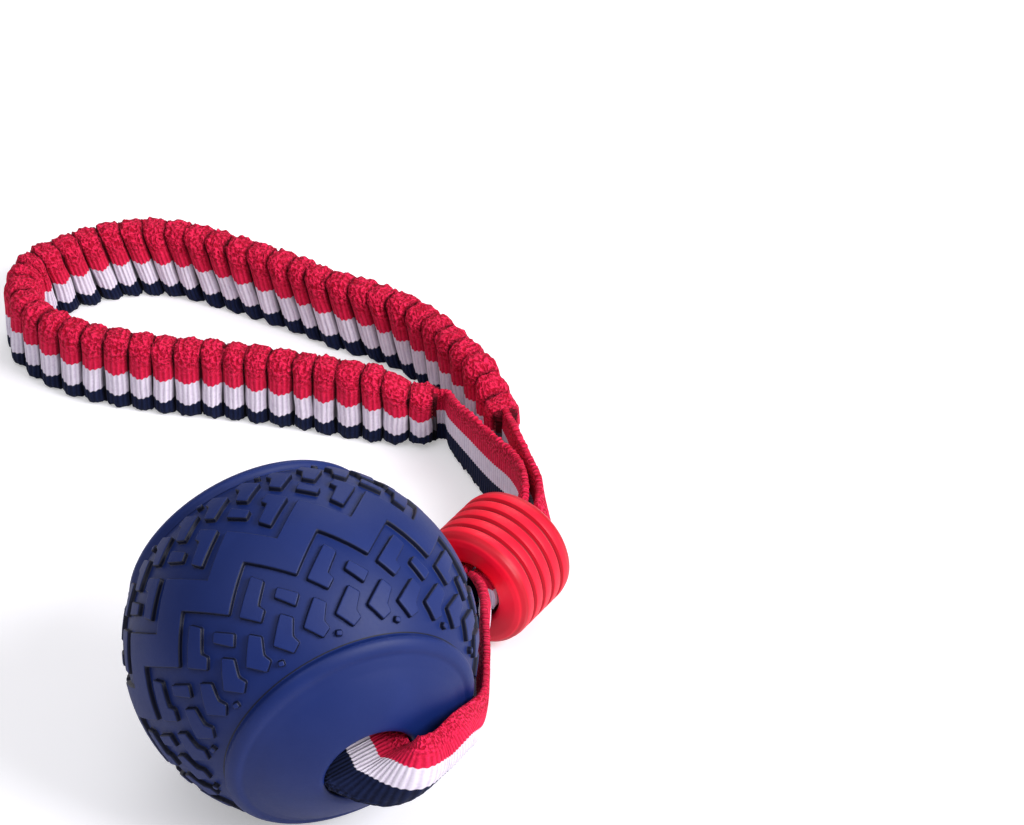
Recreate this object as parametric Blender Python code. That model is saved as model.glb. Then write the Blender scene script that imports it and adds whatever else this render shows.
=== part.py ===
"""Ball on rope dog toy: a treaded rubber ball and a grooved bead on one loop of striped webbing.

The webbing goes through the ball, both of its runs go through the bead, and the rest is
gathered on an elastic band into the hand loop. The toy lies on the ground, +Z up.
"""

import math
from collections import namedtuple

import bmesh
import bpy
from mathutils import Matrix, Vector
from mathutils.geometry import delaunay_2d_cdt

# Clearances and running gaps
SEAM_GAP = 0.0003
BORE_CLEARANCE = 0.00035
BEAD_CLEARANCE = 0.0005
ELASTIC_CLEARANCE = 0.0003

# Webbing: flat, woven in a red, a white and a navy stripe
WEB_WIDTH = 0.0195
WEB_THICKNESS = 0.0023
WHITE_STRIPE_SHARE = 0.28
WEB_RING_STEP = 0.0030

# Ball
BALL_RADIUS = 0.0375
TREAD_DEPTH = 0.0011
RIM_HEIGHT = 0.0007
CAP_DROP = 0.0005
BORE_LIP = 0.0009
TREAD_COUNT = 14
TREAD_EDGE_ANGLE = math.radians(40.0)
TREAD_COLUMNS = 4
TREAD_ROWS = 10
TREAD_CLEAR_SHARE = 0.07
TREAD_MERGE_SHARE = 0.00001
TREAD_START_ANGLE = math.radians(-9.4)
SHARP_ANGLE = math.radians(35.0)
BALL_AXIS = Vector((0.4277, -0.8794, -0.2093)).normalized()
BALL_FRONT = Vector((0.036, -0.762, 0.646))
STRAP_ACROSS = Vector((0.88, 0.352, 0.322))

# Bead
BEAD_RADIUS = 0.0142
BEAD_HALF_LENGTH = 0.0102
GROOVE_PITCH = 0.00354
GROOVE_WIDTH = 0.0016
GROOVE_DEPTH = 0.0008
GROOVE_COUNT = 4
BEAD_SIDES = 36
GROOVE_FLOOR_SHARE = 0.35
BEAD_PLACE_SHARES = (1.080, 1.412)
BEAD_AXIS = Vector((0.546, 0.838, 0.0)).normalized()

# Webbing where it is folded lengthwise in the bead
FOLD_ANGLE = math.radians(86.0)
FOLDED_WIDTH_SHARE = 0.82
FOLD_OFFSET = 0.0005
LEAST_FOLD_ANGLE = math.radians(1.0)
SELVEDGE_SHARE = 0.6
# Run through the bead: shares of BEAD_HALF_LENGTH along it and of FOLD_OFFSET beside it, and the fold
BEAD_RUN_SHARES = ((1.40, 2.0, 0.55), (0.98, 1.0, 1.0), (-0.98, 1.0, 1.0), (-1.22, 2.8, 0.60))

# Gathered hand loop
LOOP_REACH = 0.1
LOOP_SETBACK = 0.0005
GATHER_PITCH = 0.0055
PUFF_THICKNESS = 0.0085
PINCH_THICKNESS = 0.0056
PUFF_HEIGHT = 0.0195
PINCH_HEIGHT = 0.0181
FLAT_DEPTH = 0.0005
END_HEIGHT = 0.0138
END_RISE = 0.0009
PLAIN_LENGTH = 0.004
END_TAPER = 0.012
ELASTIC_WIDTH = 0.011
ELASTIC_THICKNESS = 0.0012
ELASTIC_STEP = 0.0055
PUFF_PLACE_SHARES = (0.28, 0.72)
LOOP_SHARP_ANGLE = math.radians(60.0)
# Quarter of a gather's outline, in shares of its height and its thickness
LOOP_OUTLINE_SHARES = ((0.5, 0.18), (0.45, 0.42), (WHITE_STRIPE_SHARE / 2.0, 0.5))

# Stitched tacks
TACK_LENGTH = 0.008
TACK_WIDTH = 0.0024
TACK_HEIGHT = 0.0005
TACK_CORE = 0.0006
LAP_LENGTH = 0.026
TACK_INSET = 0.004
MOUTH_DEPTH = 0.0045

# Outline of the loop in plan, from LOOP_SETBACK beyond the bead's far mouth, in shares of LOOP_REACH
LOOP_SHARES = (
    (-0.190, 0.536), (-0.240, 0.542), (-0.320, 0.556), (-0.480, 0.600), (-0.650, 0.642),
    (-0.830, 0.670), (-0.993, 0.716), (-1.100, 0.785), (-1.158, 0.880), (-1.145, 0.985),
    (-1.053, 1.066), (-0.923, 1.117), (-0.803, 1.112), (-0.693, 1.066), (-0.553, 0.992),
    (-0.433, 0.917), (-0.333, 0.866), (-0.243, 0.801), (-0.153, 0.690), (-0.083, 0.580),
    (-0.045, 0.500), (-0.033, 0.460),
)
# Legs between the loop and the bead: plan place from the same point and height, in shares of LOOP_REACH
LEFT_LEG_SHARES = (
    (-0.155, 0.492, 0.084), (-0.120, 0.416, 0.094), (-0.058, 0.296, 0.106),
    (-0.014, 0.214, 0.120), (0.006, 0.138, 0.132),
)
RIGHT_LEG_SHARES = (
    (-0.020, 0.400, 0.088), (-0.006, 0.320, 0.100), (0.022, 0.190, 0.123), (0.040, 0.096, 0.135),
)
# Strands beside the ball, from the ball's centre, in shares of BALL_RADIUS, how far their tops lean
# outwards, and their fold
LEFT_STRAND_SHARES = (
    (0.794, 1.187, -0.590, 0.0, 0.25), (0.685, 1.250, -0.500, 0.0, 0.10), (0.545, 1.268, -0.360, 0.0, 0.0),
    (0.340, 1.213, -0.187, 0.0, 0.0),
)
RIGHT_STRAND_SHARES = (
    (0.990, 0.910, -0.575, 0.04, 0.22), (0.990, 0.587, -0.520, 0.14, 0.12),
    (0.980, 0.213, -0.456, 0.24, 0.08), (0.966, -0.080, -0.408, 0.30, 0.14),
    (0.924, -0.293, -0.332, 0.40, 0.40),
)
# Turns at the two poles, in shares of BALL_RADIUS along the bore, across it and up from it,
# with the direction towards the red edge in the same three directions
NEAR_TURN_SHARES = (
    ((0.912, 0.480, -0.112), (0.09, 0.24, 0.97), 0.80),
    ((1.016, 0.320, -0.040), (-0.02, 0.42, 0.90), 0.72),
    ((1.092, 0.181, 0.023), (-0.23, 0.60, 0.77), 0.44),
    ((0.960, 0.000, 0.035), (0.0, 1.0, 0.0), 0.0),
)
FAR_TURN_SHARES = (
    ((-0.947, 0.480, -0.360), (0.0, 0.17, 0.99), 0.0),
    ((-1.120, 0.147, -0.067), (0.41, 0.64, 0.65), 0.25),
    ((-1.013, 0.008, -0.035), (0.0, 1.0, 0.0), 0.0),
)

# Tread, as shares of one tread pitch round the ball and of the tread's edge angle up from the
# equator, each outline anticlockwise. The same shapes turned by half a turn make the other half.
RIB_HIGH_SHARE = 0.346
RIB_LOW_SHARE = 0.033
ELBOW_LUG_SHARES = (
    (-0.494, 0.163), (-0.086, 0.406), (-0.299, 0.550), (-0.436, 0.475), (-0.389, 0.419), (-0.611, 0.263),
)
BLOCK_LUG_SHARES = ((-0.933, 0.488), (-0.708, 0.356), (-0.603, 0.425), (-0.805, 0.575))
SHOULDER_LUG_SHARES = (
    (-0.214, 0.638), (-0.078, 0.556), (0.245, 0.750), (0.039, 0.894), (-0.124, 0.838), (-0.086, 0.769),
)
DOT_SHARES = ((-0.280, 0.885), (-0.180, 0.870), (-0.150, 0.915), (-0.250, 0.935))

# Rim beside the tread: shares of the angle from the tread's edge to the bore's mouth, and of the
# height from the tread's floor to the rim's top. Then the cap's rings and the point on the lip.
RIM_PROFILE_SHARES = ((0.024, 0.09), (0.039, 0.77), (0.090, 1.0), (0.168, 0.94), (0.222, 0.50))
CAP_RING_SHARES = (0.390, 0.580, 0.769, 0.959)
LIP_POINT_SHARES = (0.988, 0.35)
# End of the bead: shares of the rounding's length in from the face, and of the face's width
BEAD_END_SHARES = (
    (0.30, 0.0), (0.08, 0.06), (0.0, 0.16), (0.0, 0.66), (0.087, 0.83), (0.325, 0.955), (0.65, 1.0),
)

UP = Vector((0.0, 0.0, 1.0))

# Sizes worked out from the ones above
LAP_OFFSET = (WEB_THICKNESS + SEAM_GAP) / 2.0
BORE_RADIUS = math.hypot(WEB_WIDTH / 2.0, LAP_OFFSET + WEB_THICKNESS / 2.0) + BORE_CLEARANCE
FLOOR_RADIUS = BALL_RADIUS - TREAD_DEPTH
RIM_RADIUS = BALL_RADIUS + RIM_HEIGHT
BALL_CENTRE = Vector((0.0, 0.0, BALL_RADIUS))
STRAP_ACROSS_UNIT = (STRAP_ACROSS - BALL_AXIS * STRAP_ACROSS.dot(BALL_AXIS)).normalized()
STRAP_UP = BALL_AXIS.cross(STRAP_ACROSS_UNIT)
BEAD_CENTRE = Vector((BEAD_PLACE_SHARES[0] * BALL_RADIUS, BEAD_PLACE_SHARES[1] * BALL_RADIUS, BEAD_RADIUS))
BEAD_SIDE = BEAD_AXIS.cross(UP)
FOLD_RADIUS = WEB_WIDTH * FOLDED_WIDTH_SHARE / (2.0 * FOLD_ANGLE)
FOLD_BULGE = FOLD_RADIUS * (1.0 - math.cos(FOLD_ANGLE))
BEAD_BORE_RADIUS = FOLD_OFFSET + FOLD_BULGE + WEB_THICKNESS / 2.0 + BEAD_CLEARANCE
LOOP_HEIGHT = PUFF_HEIGHT / 2.0 - FLAT_DEPTH
END_CENTRE_HEIGHT = END_RISE + END_HEIGHT / 2.0
CAVITY_WIDTH = ELASTIC_WIDTH + 2.0 * ELASTIC_CLEARANCE
CAVITY_THICKNESS = ELASTIC_THICKNESS + 2.0 * ELASTIC_CLEARANCE
PLAIN_THICKNESS = WEB_THICKNESS + CAVITY_THICKNESS
BORE_HALF_LENGTH = math.sqrt((BALL_RADIUS - CAP_DROP) ** 2 - BORE_RADIUS ** 2)
TAIL_START = BORE_HALF_LENGTH - MOUTH_DEPTH
TAIL_STEP = TAIL_START + LAP_LENGTH
WELD_DISTANCE = SEAM_GAP / 20.0
LOOP_START = BEAD_CENTRE + BEAD_AXIS * (BEAD_HALF_LENGTH + LOOP_SETBACK)

# Stripe of each column of faces round the webbing, and the columns' places across it
RED, WHITE, NAVY = 0, 1, 2
STRIPES = (RED, RED, WHITE, NAVY, NAVY, NAVY, NAVY, NAVY, WHITE, RED, RED, RED)
STRAP_COLUMN_SHARES = (1.0, (1.0 + WHITE_STRIPE_SHARE) / 2.0, WHITE_STRIPE_SHARE)

Station = namedtuple("Station", "position across fold width")
Frame = namedtuple("Frame", "position forward across out fold width")


def material(name, colour, roughness):
    """Make a plain material with the piece's colour and roughness."""
    made = bpy.data.materials.new(name)
    made.use_nodes = True
    shader = made.node_tree.nodes["Principled BSDF"]
    shader.inputs["Base Color"].default_value = (*colour, 1.0)
    shader.inputs["Roughness"].default_value = roughness
    shader.inputs["Metallic"].default_value = 0.0
    made.diffuse_color = (*colour, 1.0)
    return made


def add_object(name, mesh_builder, materials, parent, matrix=None, sharp_angle=SHARP_ANGLE):
    """Turn a bmesh into a named object under a parent."""
    bmesh.ops.recalc_face_normals(mesh_builder, faces=mesh_builder.faces)
    mesh = bpy.data.meshes.new(name)
    mesh_builder.to_mesh(mesh)
    mesh_builder.free()
    mesh.shade_smooth()
    mesh.set_sharp_from_angle(angle=sharp_angle)
    for entry in materials:
        mesh.materials.append(entry)
    made = bpy.data.objects.new(name, mesh)
    bpy.context.scene.collection.objects.link(made)
    made.parent = parent
    if matrix is not None:
        made.matrix_local = matrix
    return made


def hermite(stations, knots, index, part):
    """One point of the smooth curve through the stations, part of the way from index to the next."""
    def slope(at):
        low = max(at - 1, 0)
        high = min(at + 1, len(stations) - 1)
        return (stations[high] - stations[low]) / (knots[high] - knots[low])

    span = knots[index + 1] - knots[index]
    start, end = stations[index], stations[index + 1]
    first = slope(index) * span
    last = slope(index + 1) * span
    square = part * part
    cube = square * part
    return (start * (2 * cube - 3 * square + 1) + first * (cube - 2 * square + part)
            + end * (3 * square - 2 * cube) + last * (cube - square))


def smooth_frames(stations, step):
    """Read frames from the smooth curve through the stations, about one step apart."""
    places = [station.position for station in stations]
    knots = [0.0]
    for before, after in zip(places, places[1:]):
        knots.append(knots[-1] + (after - before).length)
    channels = (
        places,
        [station.across for station in stations],
        [station.fold for station in stations],
        [station.width for station in stations],
    )
    read = []
    for index in range(len(stations) - 1):
        count = max(1, round((knots[index + 1] - knots[index]) / step))
        for piece in range(count):
            read.append([hermite(channel, knots, index, piece / count) for channel in channels])
    read.append([channel[-1] for channel in channels])
    return frames_from(read)


def frames_from(read):
    """Add each place's forward direction and the direction out of the webbing's face."""
    frames = []
    for index, (position, across, fold, width) in enumerate(read):
        before = read[max(index - 1, 0)][0]
        after = read[min(index + 1, len(read) - 1)][0]
        forward = (after - before).normalized()
        level = across.normalized()
        out = forward.cross(level).normalized()
        frames.append(Frame(position, forward, level, out, min(max(fold, 0.0), 1.0), width))
    return frames


def add_ring(mesh_builder, frame, outline):
    """Add one closed ring of vertices: the outline across and out from the frame."""
    return [
        mesh_builder.verts.new(frame.position + frame.across * across + frame.out * out)
        for across, out in outline
    ]


def skin(mesh_builder, rings, stripes=None):
    """Join rings of equal count with quads, giving each column of faces its stripe."""
    for low, high in zip(rings, rings[1:]):
        count = len(low)
        for index in range(count):
            following = (index + 1) % count
            face = mesh_builder.faces.new((low[index], low[following], high[following], high[index]))
            if stripes:
                face.material_index = stripes[index]


def ring_edges(ring):
    """The edges round one ring."""
    return [edge_between(ring[index - 1], ring[index]) for index in range(len(ring))]


def edge_between(first, second):
    """The edge that joins two vertices."""
    return next(edge for edge in first.link_edges if edge.other_vert(first) is second)


def strap_outline(width, thickness, fold, side):
    """Outline of the flat webbing, bent into an arc by the share fold of its folded form.

    The middle bulges to the given side, and the two selvedges stay on the frame's line.
    """
    columns = [*STRAP_COLUMN_SHARES, *[-share for share in reversed(STRAP_COLUMN_SHARES)]]
    angle = FOLD_ANGLE * fold
    faces = []
    for face in (1.0, -1.0):
        for share in columns if face > 0 else reversed(columns):
            half = thickness / 2.0 * (SELVEDGE_SHARE if abs(share) == 1.0 else 1.0)
            if angle < LEAST_FOLD_ANGLE:
                faces.append((share * width / 2.0, side * face * half))
                continue
            radius = width / (2.0 * angle)
            turn = angle * share
            reach = radius + face * half
            faces.append((reach * math.sin(turn), side * (reach * math.cos(turn) - radius * math.cos(angle))))
    return faces


def strap(name, stations, side, materials, parent, step=WEB_RING_STEP):
    """Sweep the webbing along a smooth curve through the stations, and cap its ends."""
    mesh_builder = bmesh.new()
    rings = []
    for frame in smooth_frames(stations, step):
        width = frame.width * (1.0 - (1.0 - FOLDED_WIDTH_SHARE) * frame.fold)
        outline = strap_outline(width, WEB_THICKNESS, frame.fold, side)
        rings.append(add_ring(mesh_builder, frame, outline))
    skin(mesh_builder, rings, STRIPES)
    for ring in (rings[0], rings[-1]):
        half = len(ring) // 2
        for index in range(half - 1):
            face = mesh_builder.faces.new(
                (ring[index], ring[index + 1], ring[-index - 2], ring[-index - 1]))
            face.material_index = STRIPES[index]
    return add_object(name, mesh_builder, materials, parent)


def tack(name, frame, half_stack, thread, parent):
    """A row of stitching: a bar on each face, joined by the threads that go through."""
    half_core = TACK_CORE / 2.0
    half_bar = TACK_WIDTH / 2.0
    near = half_stack + SEAM_GAP
    far = near + TACK_HEIGHT
    profile = [
        (half_core, near), (half_bar, near), (half_bar, far), (-half_bar, far), (-half_bar, near),
        (-half_core, near), (-half_core, -near), (-half_bar, -near), (-half_bar, -far),
        (half_bar, -far), (half_bar, -near), (half_core, -near),
    ]
    mesh_builder = bmesh.new()
    corners = [
        mesh_builder.verts.new(
            frame.position + frame.forward * along + frame.out * out - frame.across * TACK_LENGTH / 2.0)
        for along, out in profile
    ]
    face = mesh_builder.faces.new(corners)
    raised = bmesh.ops.extrude_face_region(mesh_builder, geom=[face], use_keep_orig=True)
    moved = [item for item in raised["geom"] if isinstance(item, bmesh.types.BMVert)]
    bmesh.ops.translate(mesh_builder, verts=moved, vec=frame.across * TACK_LENGTH)
    return add_object(name, mesh_builder, [thread], parent)


def tack_slot(name, frame, half_stack, parent):
    """The cutter that opens a slot for a tack's threads."""
    mesh_builder = bmesh.new()
    bmesh.ops.create_cube(mesh_builder, size=1.0)
    size = Matrix.Diagonal((
        TACK_CORE + 2.0 * SEAM_GAP, TACK_LENGTH + 2.0 * SEAM_GAP, 2.0 * (half_stack + TACK_HEIGHT), 1.0))
    turn = Matrix((
        (frame.forward.x, frame.across.x, frame.out.x, frame.position.x),
        (frame.forward.y, frame.across.y, frame.out.y, frame.position.y),
        (frame.forward.z, frame.across.z, frame.out.z, frame.position.z),
        (0.0, 0.0, 0.0, 1.0),
    ))
    bmesh.ops.transform(mesh_builder, matrix=turn @ size, verts=mesh_builder.verts)
    cutter = add_object(name, mesh_builder, [], parent)
    cutter.hide_render = True
    cutter.display_type = "WIRE"
    return cutter


def cut(target, cutter):
    """Cut one object by another."""
    modifier = target.modifiers.new(cutter.name, "BOOLEAN")
    modifier.operation = "DIFFERENCE"
    modifier.solver = "EXACT"
    modifier.object = cutter


def tread_shapes():
    """Outlines of the raised parts of one tread pitch: the rib first, then the lugs of both halves."""
    half_pitch_share = 0.5
    rib = (
        (0.0, -RIB_LOW_SHARE), (half_pitch_share, -RIB_HIGH_SHARE), (1.0, -RIB_LOW_SHARE),
        (1.0, RIB_HIGH_SHARE), (half_pitch_share, RIB_LOW_SHARE), (0.0, RIB_HIGH_SHARE),
    )
    moved_shoulder = tuple((across - half_pitch_share, up) for across, up in SHOULDER_LUG_SHARES)
    lugs = [ELBOW_LUG_SHARES, BLOCK_LUG_SHARES, SHOULDER_LUG_SHARES, moved_shoulder, DOT_SHARES]
    turned = [tuple((-half_pitch_share - across, -up) for across, up in lug) for lug in lugs]
    return [rib, *lugs, *turned]


def tread_cell():
    """Triangles of one tread pitch, each with a flag that says whether it is raised."""
    corners = [(0.0, -1.0), (1.0, -1.0), (1.0, 1.0), (0.0, 1.0)]
    points = [Vector(corner) for corner in corners]
    faces = [[0, 1, 2, 3]]
    for shift in (-1.0, 0.0, 1.0, 2.0):
        for shape in tread_shapes():
            first = len(points)
            points.extend(Vector((across + shift, up)) for across, up in shape)
            faces.append(list(range(first, len(points))))
    for column in range(TREAD_COLUMNS + 1):
        for row in range(TREAD_ROWS + 1):
            place = Vector((column / TREAD_COLUMNS, 2.0 * row / TREAD_ROWS - 1.0))
            on_side = column in (0, TREAD_COLUMNS) or row in (0, TREAD_ROWS)
            clear = min((place - other).length for other in points) > TREAD_CLEAR_SHARE
            if on_side or clear:
                points.append(place)
    verts, _, triangles, _, _, origins = delaunay_2d_cdt(points, [], faces, 1, TREAD_MERGE_SHARE, True)
    kept = [
        (triangle, any(origin > 0 for origin in came_from))
        for triangle, came_from in zip(triangles, origins)
        if 0 in came_from
    ]
    return verts, kept


def on_ball(longitude, latitude, radius):
    """A point in the ball's own frame, whose +Z is the bore's axis."""
    level = radius * math.cos(latitude)
    return Vector((level * math.cos(longitude), level * math.sin(longitude), radius * math.sin(latitude)))


def cap_profile():
    """Angle and radius of each ring from the tread's edge over the rim and the cap into the bore."""
    cap_radius = BALL_RADIUS - CAP_DROP
    span = math.acos(BORE_RADIUS / cap_radius) - TREAD_EDGE_ANGLE
    rim_rise = RIM_RADIUS - FLOOR_RADIUS
    rings = [(around, FLOOR_RADIUS + up * rim_rise) for around, up in RIM_PROFILE_SHARES]
    rings += [(around, cap_radius) for around in CAP_RING_SHARES]
    rings.append((LIP_POINT_SHARES[0], cap_radius - BORE_LIP * LIP_POINT_SHARES[1]))
    return [(TREAD_EDGE_ANGLE + around * span, radius) for around, radius in rings]


def make_ball(materials, parent):
    """The ball: treaded band, rims, caps and the through bore."""
    mesh_builder = bmesh.new()
    pitch = math.tau / TREAD_COUNT
    cell_points, triangles = tread_cell()
    for turn in range(TREAD_COUNT):
        verts = [
            mesh_builder.verts.new(on_ball(
                TREAD_START_ANGLE + (turn + point.x) * pitch, point.y * TREAD_EDGE_ANGLE, FLOOR_RADIUS))
            for point in cell_points
        ]
        for triangle, is_raised in triangles:
            face = mesh_builder.faces.new([verts[index] for index in triangle])
            face.tag = is_raised
    loose = [vert for vert in mesh_builder.verts if not vert.link_faces]
    bmesh.ops.delete(mesh_builder, geom=loose, context="VERTS")
    bmesh.ops.remove_doubles(mesh_builder, verts=mesh_builder.verts, dist=WELD_DISTANCE)
    raised = [face for face in mesh_builder.faces if face.tag]
    lifted = bmesh.ops.extrude_face_region(mesh_builder, geom=raised)
    for item in lifted["geom"]:
        if isinstance(item, bmesh.types.BMVert):
            item.co = item.co.normalized() * BALL_RADIUS
    stale = [face for face in raised if face.is_valid]
    bmesh.ops.delete(mesh_builder, geom=stale, context="FACES_ONLY")
    border = [edge for edge in mesh_builder.edges if edge.is_boundary]
    for side in (1.0, -1.0):
        edges = [edge for edge in border if edge.verts[0].co.z * side > 0.0]
        for angle, radius in cap_profile():
            edges = pull_ring(mesh_builder, edges, lambda lon: on_ball(lon, side * angle, radius))
        depth = BORE_HALF_LENGTH - BORE_LIP
        edges = pull_ring(mesh_builder, edges, lambda lon: Vector(
            (BORE_RADIUS * math.cos(lon), BORE_RADIUS * math.sin(lon), side * depth)))
    rims = [edge for edge in mesh_builder.edges if edge.is_boundary]
    bmesh.ops.bridge_loops(mesh_builder, edges=rims)
    bmesh.ops.triangulate(mesh_builder, faces=mesh_builder.faces)
    front = (BALL_FRONT - BALL_AXIS * BALL_FRONT.dot(BALL_AXIS)).normalized()
    side_way = BALL_AXIS.cross(front)
    matrix = Matrix((
        (front.x, side_way.x, BALL_AXIS.x, BALL_CENTRE.x),
        (front.y, side_way.y, BALL_AXIS.y, BALL_CENTRE.y),
        (front.z, side_way.z, BALL_AXIS.z, BALL_CENTRE.z),
        (0.0, 0.0, 0.0, 1.0),
    ))
    return add_object("ball", mesh_builder, materials, parent, matrix)


def pull_ring(mesh_builder, edges, place):
    """Extrude a ring of boundary edges and put each new vertex at its own longitude's place."""
    pulled = bmesh.ops.extrude_edge_only(mesh_builder, edges=edges)
    new_edges = [item for item in pulled["geom"] if isinstance(item, bmesh.types.BMEdge)]
    verts = {vert for edge in new_edges for vert in edge.verts}
    for vert in verts:
        vert.co = place(math.atan2(vert.co.y, vert.co.x))
    return new_edges


def bead_profile():
    """Half outline of the bead as (along, out) points, from the bore's near lip round to its far lip."""
    first_groove = -(GROOVE_COUNT - 1) / 2.0 * GROOVE_PITCH
    rounding = BEAD_HALF_LENGTH + first_groove - GROOVE_WIDTH / 2.0
    face_reach = BEAD_RADIUS - BEAD_BORE_RADIUS
    end = [
        (-BEAD_HALF_LENGTH + inward * rounding, BEAD_BORE_RADIUS + outward * face_reach)
        for inward, outward in BEAD_END_SHARES
    ]
    ribs = []
    for groove in range(GROOVE_COUNT):
        middle = first_groove + groove * GROOVE_PITCH
        half = GROOVE_WIDTH / 2.0
        ribs += [
            (middle - half, BEAD_RADIUS),
            (middle - half * GROOVE_FLOOR_SHARE, BEAD_RADIUS - GROOVE_DEPTH),
            (middle + half * GROOVE_FLOOR_SHARE, BEAD_RADIUS - GROOVE_DEPTH),
            (middle + half, BEAD_RADIUS),
        ]
    return end + ribs + [(-along, out) for along, out in reversed(end)]


def make_bead(materials, parent):
    """The bead: its outline spun round the bore."""
    mesh_builder = bmesh.new()
    outline = [mesh_builder.verts.new((out, 0.0, along)) for along, out in bead_profile()]
    edges = [mesh_builder.edges.new(pair) for pair in zip(outline, [*outline[1:], outline[0]])]
    bmesh.ops.spin(
        mesh_builder, geom=[*outline, *edges], cent=(0, 0, 0), axis=(0, 0, 1), angle=math.tau,
        steps=BEAD_SIDES, use_merge=True)
    bmesh.ops.remove_doubles(mesh_builder, verts=mesh_builder.verts, dist=WELD_DISTANCE)
    matrix = Matrix((
        (UP.x, -BEAD_SIDE.x, BEAD_AXIS.x, BEAD_CENTRE.x),
        (UP.y, -BEAD_SIDE.y, BEAD_AXIS.y, BEAD_CENTRE.y),
        (UP.z, -BEAD_SIDE.z, BEAD_AXIS.z, BEAD_CENTRE.z),
        (0.0, 0.0, 0.0, 1.0),
    ))
    return add_object("bead", mesh_builder, materials, parent, matrix)


def loop_stations():
    """The hand loop's middle line, in plan from the loop's start."""
    stations = []
    for across, away in LOOP_SHARES:
        place = Vector((LOOP_START.x + across * LOOP_REACH, LOOP_START.y + away * LOOP_REACH, LOOP_HEIGHT))
        stations.append(Station(place, UP, 0.0, 1.0))
    return stations


def measured(frames):
    """Distance of each frame from the first, along the frames."""
    run = [0.0]
    for before, after in zip(frames, frames[1:]):
        run.append(run[-1] + (after.position - before.position).length)
    return run


def frame_at(frames, run, distance):
    """The frame at a distance along, between the two frames that it lies between."""
    distance = min(max(distance, 0.0), run[-1])
    index = max(1, next(place for place, value in enumerate(run) if value >= distance))
    part = (distance - run[index - 1]) / (run[index] - run[index - 1])
    first, second = frames[index - 1], frames[index]
    position = first.position.lerp(second.position, part)
    forward = first.forward.lerp(second.forward, part).normalized()
    return Frame(position, forward, UP, forward.cross(UP), 0.0, 1.0)


def ease(part):
    """A smooth step from 0 to 1."""
    part = min(max(part, 0.0), 1.0)
    return part * part * (3.0 - 2.0 * part)


def fullness(run, distance):
    """How far the gathers have grown to their full height: 0 at both ends of the loop, 1 between."""
    from_end = min(distance, run[-1] - distance)
    return ease((from_end - PLAIN_LENGTH) / END_TAPER)


def loop_frame(frames, run, distance):
    """The loop's frame at a distance along, lifted where the ends are drawn in."""
    frame = frame_at(frames, run, distance)
    height = END_CENTRE_HEIGHT + (LOOP_HEIGHT - END_CENTRE_HEIGHT) * fullness(run, distance)
    position = Vector((frame.position.x, frame.position.y, height))
    return Frame(position, frame.forward, UP, frame.out, 0.0, 1.0)


def loop_ring(mesh_builder, frame, height, thickness):
    """One ring of the gathered webbing, flat where it meets the ground."""
    quarter = list(LOOP_OUTLINE_SHARES)
    half = quarter + [(-up, out) for up, out in reversed(quarter)]
    outline = half + [(up, -out) for up, out in reversed(half)]
    ring = add_ring(mesh_builder, frame, [(up * height, out * thickness) for up, out in outline])
    for vert in ring:
        vert.co.z = max(vert.co.z, 0.0)
    return ring


def cavity_rings(mesh_builder, frames, run, width, thickness, inset):
    """Rings of a flat bar along the loop, for the elastic and for the hollow that it lies in."""
    length = run[-1] - 2.0 * inset
    count = max(2, round(length / ELASTIC_STEP))
    corners = ((0.5, 0.5), (-0.5, 0.5), (-0.5, -0.5), (0.5, -0.5))
    rings = []
    for index in range(count + 1):
        frame = loop_frame(frames, run, inset + length * index / count)
        rings.append(add_ring(mesh_builder, frame, [(up * width, out * thickness) for up, out in corners]))
    return rings


def make_loop(frames, run, materials, parent):
    """The gathered webbing of the hand loop, open from end to end for the elastic."""
    mesh_builder = bmesh.new()
    gathered = run[-1] - 2.0 * PLAIN_LENGTH
    gathers = round(gathered / GATHER_PITCH)
    pitch = gathered / gathers
    pinch = PINCH_HEIGHT / PUFF_HEIGHT
    places = [(0.0, PLAIN_THICKNESS, 1.0)]
    for gather in range(gathers):
        start = PLAIN_LENGTH + gather * pitch
        places.append((start, PINCH_THICKNESS if gather else PLAIN_THICKNESS, pinch))
        for part_share in PUFF_PLACE_SHARES:
            places.append((start + part_share * pitch, PUFF_THICKNESS, 1.0))
    places.append((run[-1] - PLAIN_LENGTH, PLAIN_THICKNESS, pinch))
    places.append((run[-1], PLAIN_THICKNESS, 1.0))
    rings = []
    for distance, thickness, share in places:
        frame = loop_frame(frames, run, distance)
        height = (END_HEIGHT + (PUFF_HEIGHT - END_HEIGHT) * fullness(run, distance)) * share
        rings.append(loop_ring(mesh_builder, frame, height, thickness))
    skin(mesh_builder, rings, STRIPES)
    hollow = cavity_rings(mesh_builder, frames, run, CAVITY_WIDTH, CAVITY_THICKNESS, 0.0)
    skin(mesh_builder, [list(reversed(ring)) for ring in hollow])
    for outer, inner in ((rings[0], hollow[0]), (rings[-1], hollow[-1])):
        bmesh.ops.triangle_fill(mesh_builder, edges=ring_edges(outer) + ring_edges(inner), use_beauty=True)
    return add_object("handle_webbing", mesh_builder, materials, parent, sharp_angle=LOOP_SHARP_ANGLE)


def make_elastic(frames, run, rubber, parent):
    """The flat elastic inside the gathers."""
    mesh_builder = bmesh.new()
    rings = cavity_rings(mesh_builder, frames, run, ELASTIC_WIDTH, ELASTIC_THICKNESS, SEAM_GAP)
    skin(mesh_builder, rings)
    for ring in (rings[0], rings[-1]):
        mesh_builder.faces.new(ring)
    return add_object("elastic_band", mesh_builder, [rubber], parent)


def bead_station(along, side, fold):
    """A place in the bead's own frame: along its bore from the middle, and beside it."""
    return Station(BEAD_CENTRE + BEAD_AXIS * along + BEAD_SIDE * side, UP, fold, WEB_WIDTH)


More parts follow.
